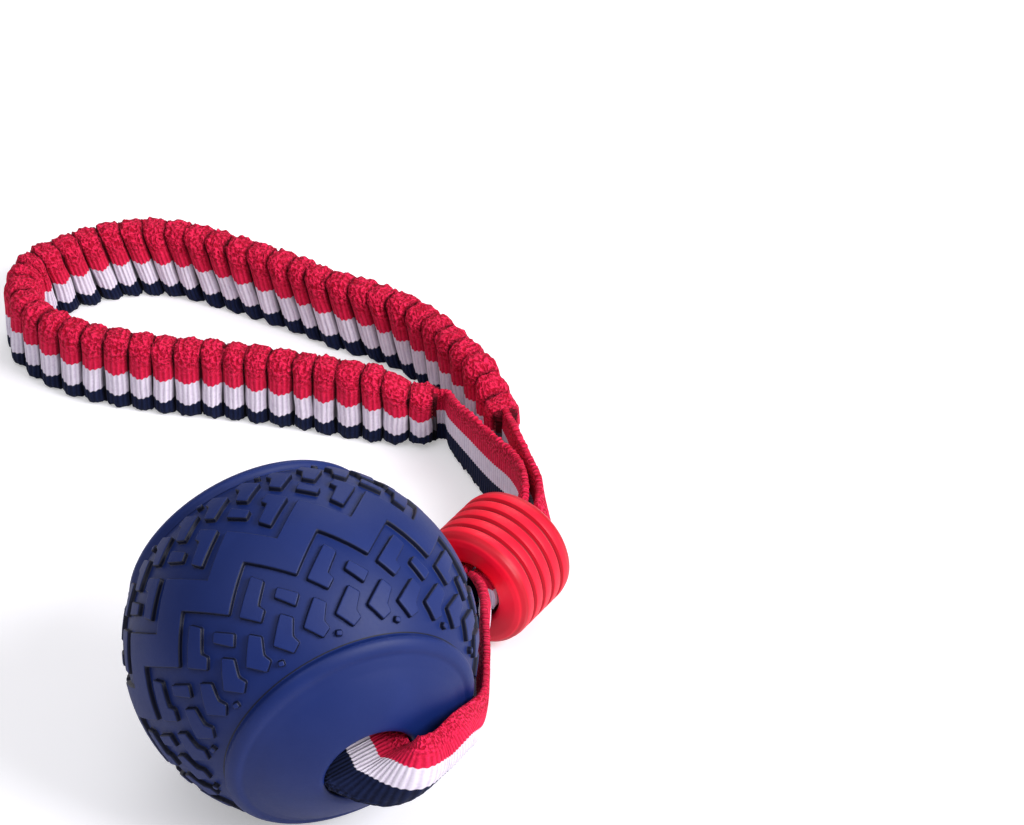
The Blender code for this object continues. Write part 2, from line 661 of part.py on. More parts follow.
def ball_station(shares, across_shares, fold=0.0):
    """A place in the bore's own directions, from the ball's centre."""
    directions = (BALL_AXIS, STRAP_ACROSS_UNIT, STRAP_UP)
    place = sum((way * share for way, share in zip(directions, shares)), Vector()) * BALL_RADIUS
    across = sum((way * share for way, share in zip(directions, across_shares)), Vector())
    return Station(BALL_CENTRE + place, across.normalized(), fold, WEB_WIDTH)


def bore_station(along, up):
    """A place in the bore, along it from the ball's centre and up from its middle."""
    return Station(BALL_CENTRE + BALL_AXIS * along + STRAP_UP * up, STRAP_ACROSS_UNIT, 0.0, WEB_WIDTH)


def leg_stations(shares):
    """The stretch between the loop and the bead, drawn in where it would reach the ground."""
    stations = []
    for across, away, up in shares:
        height = up * LOOP_REACH
        place = Vector((LOOP_START.x + across * LOOP_REACH, LOOP_START.y + away * LOOP_REACH, height))
        stations.append(Station(place, UP, 0.0, min(WEB_WIDTH, 2.0 * (height - END_RISE))))
    return stations


def strand_stations(shares):
    """The stretch beside the ball."""
    return [
        Station(BALL_CENTRE + Vector(place) * BALL_RADIUS, Vector((lean, 0.0, 1.0)), fold, WEB_WIDTH)
        for *place, lean, fold in shares
    ]


def start_stations(frames, run, at_end):
    """The first stretch of a strap, straight out of the end of the gathers."""
    frame = loop_frame(frames, run, run[-1] if at_end else 0.0)
    away = frame.forward if at_end else -frame.forward
    return [
        Station(frame.position + away * distance, UP, 0.0, END_HEIGHT)
        for distance in (SEAM_GAP, WEB_THICKNESS)
    ]


def bead_run(side):
    """The stretch through the bead, folded lengthwise."""
    return [
        bead_station(BEAD_HALF_LENGTH * along, side * FOLD_OFFSET * beside, fold)
        for along, beside, fold in BEAD_RUN_SHARES
    ]


def make_straps(frames, run, webbing, parent):
    """Both flat runs of the webbing, from the gathers through the bead to the ball's two mouths."""
    left = [
        *start_stations(frames, run, False), *leg_stations(LEFT_LEG_SHARES), *bead_run(-1.0),
        *strand_stations(LEFT_STRAND_SHARES),
        *[ball_station(*turn) for turn in FAR_TURN_SHARES],
        bore_station(-(TAIL_START + WEB_THICKNESS), -LAP_OFFSET),
        bore_station(-(TAIL_START + SEAM_GAP), -LAP_OFFSET),
    ]
    right = [
        *start_stations(frames, run, True), *leg_stations(RIGHT_LEG_SHARES), *bead_run(1.0),
        *strand_stations(RIGHT_STRAND_SHARES),
        *[ball_station(*turn) for turn in NEAR_TURN_SHARES],
        bore_station(TAIL_START + WEB_THICKNESS, LAP_OFFSET),
        bore_station(TAIL_START + SEAM_GAP, LAP_OFFSET),
    ]
    strap("left_strap", left, 1.0, webbing, parent)
    strap("right_strap", right, -1.0, webbing, parent)


def make_tails(webbing, thread, parent):
    """The two ends of the webbing, lapped and stitched inside the ball."""
    slots = []
    half_stack = LAP_OFFSET + WEB_THICKNESS / 2.0
    for name, side in (("far_lap", -1.0), ("near_lap", 1.0)):
        place = BALL_CENTRE + BALL_AXIS * side * (LAP_LENGTH / 2.0 - TACK_INSET)
        frame = Frame(place, BALL_AXIS, STRAP_ACROSS_UNIT, STRAP_UP, 0.0, 1.0)
        tack(name + "_tack", frame, half_stack, thread, parent)
        slots.append(tack_slot(name + "_slot", frame, half_stack, parent))
    for name, side in (("left_tail", -1.0), ("right_tail", 1.0)):
        ends = (side * TAIL_START, -side * LAP_LENGTH / 2.0)
        stations = [bore_station(end, side * LAP_OFFSET) for end in ends]
        tail = strap(name, stations, 1.0, webbing, parent, step=TAIL_STEP)
        for slot in slots:
            cut(tail, slot)


def clear_scene():
    """Remove what the scene starts with."""
    for item in list(bpy.data.objects):
        bpy.data.objects.remove(item, do_unlink=True)


def settle(root):
    """Move the whole toy so that its box stands centred on the origin, lowest point at zero."""
    bpy.context.view_layer.update()
    graph = bpy.context.evaluated_depsgraph_get()
    corners = []
    for item in bpy.data.objects:
        if item.type != "MESH" or item.hide_render:
            continue
        shown = item.evaluated_get(graph)
        mesh = shown.to_mesh()
        corners.extend(shown.matrix_world @ vert.co for vert in mesh.vertices)
        shown.to_mesh_clear()
    low = [min(corner[axis] for corner in corners) for axis in range(3)]
    high = [max(corner[axis] for corner in corners) for axis in range(3)]
    root.location = (-(low[0] + high[0]) / 2.0, -(low[1] + high[1]) / 2.0, -low[2])
    bpy.context.view_layer.update()


def main():
    """Build the toy."""
    clear_scene()
    root = bpy.data.objects.new("toy", None)
    bpy.context.scene.collection.objects.link(root)
    webbing = [
        material("webbing_red", (0.60, 0.012, 0.030), 0.85),
        material("webbing_white", (0.80, 0.76, 0.82), 0.85),
        material("webbing_navy", (0.010, 0.014, 0.050), 0.85),
    ]
    thread = material("stitching", (0.60, 0.012, 0.030), 0.8)
    make_ball([material("ball_rubber", (0.025, 0.055, 0.30), 0.5)], root)
    make_bead([material("bead_rubber", (0.85, 0.035, 0.045), 0.45)], root)
    frames = smooth_frames(loop_stations(), WEB_THICKNESS)
    run = measured(frames)
    loop = make_loop(frames, run, webbing, root)
    elastic = make_elastic(frames, run, material("elastic", (0.75, 0.73, 0.70), 0.7), root)
    for name, distance in (("near_handle", PLAIN_LENGTH / 2.0), ("far_handle", run[-1] - PLAIN_LENGTH / 2.0)):
        frame = loop_frame(frames, run, distance)
        tack(name + "_tack", frame, PLAIN_THICKNESS / 2.0, thread, root)
        slot = tack_slot(name + "_slot", frame, PLAIN_THICKNESS / 2.0, root)
        cut(loop, slot)
        cut(elastic, slot)
    make_straps(frames, run, webbing, root)
    make_tails(webbing, thread, root)
    settle(root)


main()
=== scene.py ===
"""Looks of the ball on rope dog toy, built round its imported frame.

A treaded rubber ball and a grooved bead sit on one loop of striped webbing, whose far part is
gathered on an elastic band into the hand loop. Every length is in metres.
"""

import logging
import math
from bisect import bisect_right
from dataclasses import dataclass
from enum import Enum
from typing import Any, Callable, Sequence

import bmesh
import bpy
from mathutils import Matrix, Vector, noise
from mathutils.geometry import delaunay_2d_cdt


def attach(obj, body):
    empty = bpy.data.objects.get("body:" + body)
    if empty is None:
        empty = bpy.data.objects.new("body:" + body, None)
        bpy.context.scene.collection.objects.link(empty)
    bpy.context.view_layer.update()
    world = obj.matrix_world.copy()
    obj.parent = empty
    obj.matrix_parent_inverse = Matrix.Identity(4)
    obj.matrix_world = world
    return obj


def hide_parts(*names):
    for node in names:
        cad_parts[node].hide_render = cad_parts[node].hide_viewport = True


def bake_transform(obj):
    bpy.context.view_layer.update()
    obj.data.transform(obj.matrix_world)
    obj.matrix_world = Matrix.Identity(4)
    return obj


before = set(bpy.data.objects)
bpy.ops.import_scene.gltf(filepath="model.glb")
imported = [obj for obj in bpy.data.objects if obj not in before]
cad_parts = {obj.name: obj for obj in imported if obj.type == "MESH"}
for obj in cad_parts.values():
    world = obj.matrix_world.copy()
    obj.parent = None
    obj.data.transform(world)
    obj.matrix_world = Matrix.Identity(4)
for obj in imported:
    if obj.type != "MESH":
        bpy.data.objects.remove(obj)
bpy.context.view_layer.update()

LOG = logging.getLogger("dog_toy")
SHEET = "sheet"
RELIEF = "relief"
MM = 0.001
# Places that are nearer to each other than these count as one
SPECK = 0.00001 * MM
GRAIN = 0.0001 * MM
HAIR = 0.001 * MM
UP = Vector((0.0, 0.0, 1.0))
TOY_PLACE = Vector((8.525, -70.225, 0.0)) * MM

Colour = tuple[float, float, float]
Pair = tuple[float, float]
WHITE: Colour = (1.0, 1.0, 1.0)


class Body(str, Enum):
    """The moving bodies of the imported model."""

    STRAP = "strap"
    BALL = "ball"
    BEAD = "bead"


class Slot(str, Enum):
    """The record's material slots."""

    BALL = "ball_rubber"
    BEAD = "bead_rubber"
    WEBBING = "webbing"
    ELASTIC = "elastic"
    STITCHING = "stitching"


class Value:
    """A socket of a recipe. Python's operators on it add Math nodes."""

    def __init__(self, recipe: "Recipe", socket: bpy.types.NodeSocket) -> None:
        """Wrap one output socket of a recipe."""
        self.recipe = recipe
        self.socket = socket

    def _math(self, operation: str, first: Any, second: Any = 0.0) -> "Value":
        """Add one Math node for two values or numbers."""
        return self.recipe.node("ShaderNodeMath", {"operation": operation}, {0: first, 1: second})

    def __add__(self, other: Any) -> "Value":
        """The sum."""
        return self._math("ADD", self, other)

    def __sub__(self, other: Any) -> "Value":
        """The difference."""
        return self._math("SUBTRACT", self, other)

    def __rsub__(self, other: Any) -> "Value":
        """The difference from a number."""
        return self._math("SUBTRACT", other, self)

    def __mul__(self, other: Any) -> "Value":
        """The product."""
        return self._math("MULTIPLY", self, other)

    __radd__ = __add__
    __rmul__ = __mul__

    def larger(self, other: "Value") -> "Value":
        """The larger of two values."""
        return self._math("MAXIMUM", self, other)

    def power(self, exponent: float) -> "Value":
        """The value raised to a power."""
        return self._math("POWER", self, exponent)

    def wave(self) -> "Value":
        """A sine wave between 0 and 1, for an angle in radians."""
        return self._math("SINE", self) * 0.5 + 0.5

    def step(self, low: float, high: float) -> "Value":
        """A smooth step from 0 at low to 1 at high."""
        settings = {"interpolation_type": "SMOOTHSTEP"}
        return self.recipe.node("ShaderNodeMapRange", settings, {0: self, 1: low, 2: high})


class Recipe:
    """The nodes of one material or of the sky, and the ways to add to them."""

    def __init__(self, owner: bpy.types.ID, shader: str = "Principled BSDF") -> None:
        """Start from the shader that a new material or sky has.

        Args:
            owner: the material or the sky.
            shader: the name of its shader node.
        """
        owner.use_nodes = True
        self.owner = owner
        self.tree = owner.node_tree
        self.shader = self.tree.nodes[shader]

    def node(
        self,
        kind: str,
        settings: dict[str, Any] | None = None,
        inputs: dict[Any, Any] | None = None,
        output: Any = 0,
    ) -> Value:
        """Add any node.

        Args:
            kind: the node's type.
            settings: its properties, set before its sockets.
            inputs: a value, or another node's result, for each named or numbered socket.
            output: the name or number of the output that is wanted.

        Returns:
            The wanted output.
        """
        made = self.tree.nodes.new(kind)
        for key, value in (settings or {}).items():
            setattr(made, key, value)
        for key, value in (inputs or {}).items():
            self.feed(made.inputs[key], value)
        return Value(self, made.outputs[output])

    def feed(self, socket: bpy.types.NodeSocket, value: Any) -> None:
        """Set a socket, or link it.

        Args:
            socket: the input.
            value: a number, a vector, a colour or another node's result.
        """
        if isinstance(value, Value):
            self.tree.links.new(value.socket, socket)
        elif socket.type == "RGBA":
            socket.default_value = (*value, 1.0)
        else:
            socket.default_value = value

    def mix(self, factor: Any, first: Any, second: Any) -> Value:
        """The first colour mixed with a share of the second."""
        return self.node("ShaderNodeMix", {"data_type": "RGBA"}, {0: factor, 6: first, 7: second}, 2)

    def shade(self, colour: Any, factor: Any) -> Value:
        """A colour multiplied by a number."""
        return self.node("ShaderNodeVectorMath", {"operation": "SCALE"}, {0: colour, "Scale": factor})

    def place(self) -> Value:
        """The place on the piece, in metres."""
        return self.node("ShaderNodeTexCoord", output="Object")

    def sheet(self) -> tuple[Value, Value, Value]:
        """The piece's own sheet coordinates.

        Returns:
            The whole vector, the run along the webbing in millimetres, and the share across it.
        """
        vector = self.node("ShaderNodeUVMap", {"uv_map": SHEET})
        along = self.node("ShaderNodeSeparateXYZ", inputs={0: vector})
        return vector, along, Value(self, along.socket.node.outputs[1])

    def relief(self) -> Value:
        """How high the surface stands, from 0 in its grooves to 1, which the materials use for painted shade.
        """
        return self.node("ShaderNodeAttribute", {"attribute_name": RELIEF}, output="Fac")

    def grain(self, scale: float, detail: float, where: Value | None = None) -> Value:
        """Fine noise from 0 to 1, on the piece or on the vector that is given."""
        return self.node("ShaderNodeTexNoise", inputs={
            "Vector": where or self.place(), "Scale": scale, "Detail": detail, "Roughness": 0.6})

    def woven(self, sheet: Value, along: float, across: float, detail: float) -> Value:
        """Noise on the webbing, with so many grains in a millimetre along it and in its width."""
        inputs = {0: sheet, 1: (along, across, 1.0)}
        return self.grain(1.0, detail, self.node("ShaderNodeVectorMath", {"operation": "MULTIPLY"}, inputs))

    def bump(self, height: Value, distance: float, strength: float = 1.0) -> Value:
        """A normal bent by a height, whose 1 stands for a distance."""
        return self.node("ShaderNodeBump", inputs={
            "Height": height, "Distance": distance, "Strength": strength})

    def finish(self, **inputs: Any) -> bpy.types.ID:
        """Join the results to the shader.

        Args:
            inputs: what each of its sockets gets, with _ for a space in the socket's name.

        Returns:
            The material or the sky.
        """
        for key, value in inputs.items():
            self.feed(self.shader.inputs[key.replace("_", " ")], value)
        return self.owner


@dataclass(frozen=True)
class WovenWebbing:
    """Ribbed webbing woven in three stripes, with slubs where it folds over the gathers' crowns."""

    # Each stripe comes as a shaded and a lit copy of its colour, mixed by painted shade and painted light as
    # well as by random yarn tone
    red: Colour = (0.36, 0.002, 0.018)
    red_lit_tone: Colour = (0.96, 0.024, 0.105)
    white: Colour = (0.82, 0.75, 0.87)
    white_shade: Colour = (0.58, 0.50, 0.64)
    navy: Colour = (0.002, 0.003, 0.014)
    navy_lit_tone: Colour = (0.010, 0.017, 0.062)
    white_share: float = 0.28
    blur_share: float = 0.006
    top_crown_shares: Pair = (0.68, 0.92)
    low_crown_shares: Pair = (0.10, 0.02)
    crevice_limits: Pair = (0.02, 0.62)
    crevice_shade: float = 0.10
    weave_height: float = 0.22 * MM
    roughness: float = 0.80
    gloss: float = 0.08
    sheen: float = 0.02

    def make(self) -> bpy.types.Material:
        """Make the material, read from the sheet coordinates and the relief.

        Returns:
            The material.
        """
        recipe = Recipe(bpy.data.materials.new("webbing"))
        sheet, along, across = recipe.sheet()
        wander = recipe.woven(sheet, 0.9, 5.4, 2.0)
        yarn = recipe.woven(sheet, 2.4, 42.0, 3.0)
        patch = recipe.woven(sheet, 0.75, 9.0, 2.0)
        knots = recipe.woven(sheet, 1.55, 26.0, 1.0).step(0.34, 0.66)
        fuzz = recipe.grain(5200.0, 4.0)
        rib = ((along + wander * 0.35) * (math.tau * MM / WEB.rib_pitch)).wave()
        crown = across.step(*self.top_crown_shares) + across.step(*self.low_crown_shares)
        plain = 1.0 - crown * 0.70
        # Painted shade in the rib valleys, painted highlights and shade on the crown's slubs, and random yarn
        # and patch tone
        yarn_tone_and_painted_light = rib * plain * 0.42 + yarn * 0.55 + patch * 0.55 - 0.28 + crown * (knots - 0.42) * 0.80
        from_middle = across + (rib * 0.010 + wander * 0.008 - 0.009) - 0.5
        half, blur = self.white_share / 2.0, self.blur_share
        is_red = from_middle.step(half - blur, half + blur)
        is_navy = from_middle.step(blur - half, -half - blur)
        colour = recipe.mix(yarn_tone_and_painted_light.step(0.0, 0.75), self.white_shade, self.white)
        colour = recipe.mix(is_red, colour, recipe.mix(yarn_tone_and_painted_light, self.red, self.red_lit_tone))
        colour = recipe.mix(is_navy, colour, recipe.mix(yarn_tone_and_painted_light, self.navy, self.navy_lit_tone))
        # Painted shade in the pinches between the gathers, read from the relief
        light = recipe.relief().step(*self.crevice_limits) * (1.0 - self.crevice_shade) + self.crevice_shade
        height = rib.power(0.8) * plain * 0.62 + yarn * 0.26 + fuzz * 0.12 + crown * knots * 1.5
        return recipe.finish(
            Base_Color=recipe.shade(colour, light), Roughness=self.roughness - fuzz * 0.12,
            Normal=recipe.bump(height, self.weave_height), Specular_IOR_Level=self.gloss,
            Sheen_Weight=self.sheen, Sheen_Roughness=0.5)


@dataclass(frozen=True)
class MouldedRubber:
    """Matt moulded rubber with a fine skin, paler where it is rubbed, with painted shade on the walls and
    floors of its grooves.
    """

    name: str
    colour: Colour
    lighter: Colour
    # The groove colour is painted shade for the walls and floors of the grooves
    groove: Colour
    roughness: float = 0.52
    wall_shade: float = 0.92
    floor_shade: float = 0.0
    gloss: float = 0.32
    wear: float = 0.40
    skin_height: float = 0.05 * MM
    foot_limits: Pair = (0.0, 0.08)
    floor_limits: Pair = (0.0, 0.35)
    top_limits: Pair = (0.82, 1.0)

    def make(self) -> bpy.types.Material:
        """Make the material, read from the place on the piece and the relief.

        Returns:
            The material.
        """
        recipe = Recipe(bpy.data.materials.new(self.name))
        relief = recipe.relief()
        cloud = recipe.grain(55.0, 3.0)
        skin = recipe.grain(1500.0, 4.0)
        # Painted shade on the groove walls and floors, and inside the bore, from the relief
        wall = relief.step(*self.foot_limits) - relief.step(*self.top_limits)
        floor = (1.0 - relief.step(*self.floor_limits)) * self.floor_shade
        colour = recipe.mix(wall * self.wall_shade + floor, self.colour, self.groove)
        rubbed = cloud.step(0.42, 0.72) * relief.step(0.9, 1.0) * self.wear
        return recipe.finish(
            Base_Color=recipe.mix(rubbed, colour, self.lighter),
            Roughness=self.roughness + skin * 0.12 - cloud * 0.08,
            Normal=recipe.bump(skin * 0.7 + cloud * 0.3, self.skin_height, 0.6),
            Specular_IOR_Level=self.gloss)


@dataclass(frozen=True)
class SpunThread:
    """Sewing thread, twisted from two strands."""

    colour: Colour = (0.52, 0.012, 0.030)
    twist: float = 9000.0
    strand_height: float = 0.04 * MM

    def make(self) -> bpy.types.Material:
        """Make the material, read from the place on the piece.

        Returns:
            The material.
        """
        recipe = Recipe(bpy.data.materials.new("stitching"))
        along = recipe.node("ShaderNodeVectorMath", {"operation": "DOT_PRODUCT"}, {
            0: recipe.place(), 1: (0.6, 0.5, 0.62)}, "Value")
        strand = (along * self.twist).wave()
        # Darker between the strands: painted shade where the bump is low
        return recipe.finish(
            Base_Color=recipe.shade(self.colour, strand * 0.4 + 0.7), Roughness=0.6,
            Normal=recipe.bump(strand, self.strand_height), Sheen_Weight=0.15)


@dataclass(frozen=True)
class RibbedElastic:
    """Pale flat elastic with cords along it."""

    colour: Colour = (0.74, 0.72, 0.70)
    cords: float = 12.0
    wefts_per_mm: float = 1.6
    cord_height: float = 0.12 * MM

    def make(self) -> bpy.types.Material:
        """Make the material, read from the sheet coordinates.

        Returns:
            The material.
        """
        recipe = Recipe(bpy.data.materials.new("elastic"))
        _, along, across = recipe.sheet()
        cord = (across * (self.cords * math.tau)).wave()
        weft = (along * (self.wefts_per_mm * math.tau)).wave()
        height = cord * 0.7 + weft * 0.3
        # Darker between the cords: painted shade where the bump is low
        return recipe.finish(
            Base_Color=recipe.shade(self.colour, height * 0.35 + 0.68), Roughness=0.7,
            Normal=recipe.bump(height, self.cord_height))


def ease(part: float) -> float:
    """A smooth step from 0 to 1."""
    part = min(max(part, 0.0), 1.0)
    return part * part * (3.0 - 2.0 * part)


def bent(value: float, exponent: float) -> float:
    """A power that keeps the sign."""
    return math.copysign(abs(value) ** exponent, value)


def add_object(name: str, data: bpy.types.ID) -> bpy.types.Object:
    """Put a new object into the scene.

    Args:
        name: the object's name.
        data: its mesh, lamp or camera.

    Returns:
        The object.
    """
    made = bpy.data.objects.new(name, data)
    bpy.context.scene.collection.objects.link(made)
    return made


def turned_to(*directions: Vector) -> Matrix:
    """A turn whose own X, Y and Z point in three directions."""
    return Matrix(directions).transposed().to_4x4()


class Piece:
    """A piece of the toy that is being made from a bmesh."""

    def __init__(self, name: str) -> None:
        """Start an empty piece, which keeps its relief and its sheet coordinates.

        Args:
            name: the finished object's name.
        """
        self.name = name
        self.mesh = bmesh.new()
        self.relief = self.mesh.verts.layers.float.new(RELIEF)
        self.sheet = self.mesh.loops.layers.uv.new(SHEET)

    def wrap(
        self,
        columns: int,
        rows: int,
        spot: Callable[[int, int], tuple[Vector, float]],
        run: Callable[[int], float],
        share: Callable[[int], float],
    ) -> None:
        """Wrap a flat grid into a tube: its columns lie along, and its rows go round and close.

        Args:
            columns: the number of faces along.
            rows: the number of faces round.
            spot: the place and the relief for a column and a row.
            run: the run along the webbing for a column, in millimetres.
            share: the share across the webbing for a row.
        """
        bmesh.ops.create_grid(self.mesh, x_segments=columns, y_segments=rows, size=0.5)
        runs = [run(column) for column in range(columns + 1)]
        shares = [share(row % rows) for row in range(rows + 1)]
        cells = {
            vert: (round((vert.co.x + 0.5) * columns), round((vert.co.y + 0.5) * rows))
            for vert in self.mesh.verts
        }
        for face in self.mesh.faces:
            for loop in face.loops:
                column, row = cells[loop.vert]
                loop[self.sheet].uv = (runs[column], shares[row])
        for vert, (column, row) in cells.items():
            vert.co, vert[self.relief] = spot(column, row % rows)
        bmesh.ops.remove_doubles(self.mesh, verts=self.mesh.verts, dist=GRAIN)
        ends = [edge for edge in self.mesh.edges if edge.is_boundary]
        bmesh.ops.holes_fill(self.mesh, edges=ends, sides=0)

    def done(self, material: bpy.types.Material, slot: Slot) -> bpy.types.Object:
        """Turn the piece into an object.

        Args:
            material: its finish.
            slot: the record's slot for its finish, which is not used.

        Returns:
            The object, at the origin.
        """
        bmesh.ops.recalc_face_normals(self.mesh, faces=self.mesh.faces)
        mesh = bpy.data.meshes.new(self.name)
        self.mesh.to_mesh(mesh)
        self.mesh.free()
        mesh.shade_smooth()
        mesh.materials.append(material)
        made = add_object(self.name, mesh)
        LOG.info("%s: %d faces", self.name, len(mesh.polygons))
        return made


@dataclass(frozen=True)
class Web:
    """Sizes of the webbing."""

    width: float = 19.5 * MM
    thickness: float = 2.3 * MM
    fold_angle: float = math.radians(86.0)
    folded_share: float = 0.82
    fold_offset: float = 0.5 * MM
    rib_pitch: float = 0.95 * MM
    seam: float = 0.3 * MM


WEB = Web()


@dataclass(frozen=True)
class Station:
    """A place that the webbing goes through."""

    place: Vector
    across: Vector
    fold: float = 0.0
    width: float = WEB.width


@dataclass(frozen=True)
class Spot:
    """The webbing's place and directions at one distance along it."""

    place: Vector
    forward: Vector
    across: Vector
    out: Vector
    fold: float
    width: float


class Route:
    """The smooth curve through a row of stations."""

    def __init__(self, stations: Sequence[Station], step: float = 0.5 * MM) -> None:
        """Read the curve closely enough to look places up by distance.

        Args:
            stations: the stations, in order.
            step: how far apart the curve is read.
        """
        knots = [0.0]
        for before, after in zip(stations, stations[1:]):
            knots.append(knots[-1] + (after.place - before.place).length)
        channels = [[getattr(s, key) for s in stations] for key in ("place", "across", "fold", "width")]
        read = []
        for index in range(len(stations) - 1):
            count = max(1, round((knots[index + 1] - knots[index]) / step))
            for piece in range(count):
                read.append([self._blend(c, knots, index, piece / count) for c in channels])
        read.append([channel[-1] for channel in channels])
        self.read = read
        self.runs = [0.0]
        for before, after in zip(read, read[1:]):
            self.runs.append(self.runs[-1] + (after[0] - before[0]).length)

    @staticmethod
    def _blend(values: Sequence[Any], knots: Sequence[float], index: int, part: float) -> Any:
        """One value on the smooth curve between two stations.

        Args:
            values: the stations' values.
            knots: their distances.
            index: the station before.
            part: the share of the way to the next one.

        Returns:
            The value.
        """
        def slope(at: int) -> Any:
            """The slope at a station."""
            low, high = max(at - 1, 0), min(at + 1, len(values) - 1)
            return (values[high] - values[low]) / (knots[high] - knots[low])

        span = knots[index + 1] - knots[index]
        square, cube = part * part, part * part * part
        return (values[index] * (2 * cube - 3 * square + 1) + slope(index) * span * (cube - 2 * square + part)
                + values[index + 1] * (3 * square - 2 * cube) + slope(index + 1) * span * (cube - square))

    @property
    def length(self) -> float:
        """The length of the whole route."""
        return self.runs[-1]

    def nearest(self, place: Vector) -> float:
        """The distance along at which the route comes nearest to a place."""
        index = min(range(len(self.read)), key=lambda at: (self.read[at][0] - place).length)
        return self.runs[index]

    def spot(self, distance: float) -> Spot:
        """Look up the route.

        Args:
            distance: how far along.

        Returns:
            The spot there.
        """
        distance = min(max(distance, 0.0), self.length)
        low = min(bisect_right(self.runs, distance), len(self.runs) - 1) - 1
        part = (distance - self.runs[low]) / (self.runs[low + 1] - self.runs[low])
        place, across, fold, width = [
            first + (second - first) * part for first, second in zip(self.read[low], self.read[low + 1])]
        forward = (self._forward(low) * (1.0 - part) + self._forward(low + 1) * part).normalized()
        across = across.normalized()
        out = forward.cross(across).normalized()
        return Spot(place, forward, across, out, min(max(fold, 0.0), 1.0), width)

    def _forward(self, index: int) -> Vector:
        """The direction along at one reading."""
        low, high = max(index - 1, 0), min(index + 1, len(self.read) - 1)
        return (self.read[high][0] - self.read[low][0]).normalized()


@dataclass
class Strip:
    """Flat webbing along part of a route, bent lengthwise where the route says so."""

    route: Route
    side: float = 1.0
    thickness: float = WEB.thickness
    rows: int = 40
    rings_per_rib: int = 5
    edge_power: float = 0.32
    edge_share: float = 0.86
    least_fold: float = 0.012
    flat_share: float = 0.94
    rib_share: float = 0.045
    knot_share: float = 0.24
    rib_swell: float = 0.05 * MM
    knot_swell: float = 0.60 * MM
    slack: float = 0.12 * MM
    slack_grain: float = 140.0

    def build(self, name: str, start: float, end: float, ribs: bool = True) -> Piece:
        """Make one stretch.

        Args:
            name: the piece's name.
            start: the distance at which it starts.
            end: the distance at which it ends.
            ribs: whether its ribs stand in the mesh.

        Returns:
            The piece.
        """
        columns = max(2, round((end - start) / (WEB.rib_pitch / self.rings_per_rib)))
        runs = [start + (end - start) * column / columns for column in range(columns + 1)]
        spots = [self.route.spot(run) for run in runs]

        def spot(column: int, row: int) -> tuple[Vector, float]:
            """The place for a column and a row."""
            wave = math.cos(math.tau * runs[column] / WEB.rib_pitch) if ribs else 0.0
            return self._point(spots[column], runs[column], math.tau * row / self.rows, wave), 1.0

        piece = Piece(name)
        piece.wrap(
            columns, self.rows, spot, lambda column: runs[column] / MM,
            lambda row: 0.5 + 0.5 * math.cos(math.tau * row / self.rows))
        return piece

    def _point(self, at: Spot, distance: float, angle: float, wave: float) -> Vector:
        """One point of the outline.

        Args:
            at: the spot along the route.
            distance: how far along it is.
            angle: the angle round the outline.
            wave: the rib's height there, from -1 to 1.

        Returns:
            The point.
        """
        share = math.cos(angle)
        edge = ease((abs(share) - self.edge_share) / (1.0 - self.edge_share))
        knot = noise.noise(Vector((distance / MM * 0.95, math.sin(angle) * 1.4, share * 3.0)))
        slack = noise.noise(at.place * self.slack_grain + Vector((0.0, 0.0, share * 0.8)))
        swell = edge * (self.rib_swell * wave + self.knot_swell * knot)
        width = at.width * (1.0 - (1.0 - WEB.folded_share) * at.fold)
        half = self.thickness / 2.0 * bent(math.sin(angle), self.edge_power)
        lift = half * (self.flat_share + self.rib_share * wave + self.knot_share * edge * knot)
        lift += slack * self.slack
        turn_all = WEB.fold_angle * at.fold
        if turn_all < self.least_fold:
            return at.place + at.across * (share * width / 2.0 + swell * share) + at.out * (self.side * lift)
        radius = width / (2.0 * turn_all)
        turn = turn_all * share
        reach = radius + lift
        across = reach * math.sin(turn) + swell * math.sin(turn)
        out = self.side * (reach * math.cos(turn) - radius * math.cos(turn_all))
        return at.place + at.across * across + at.out * out


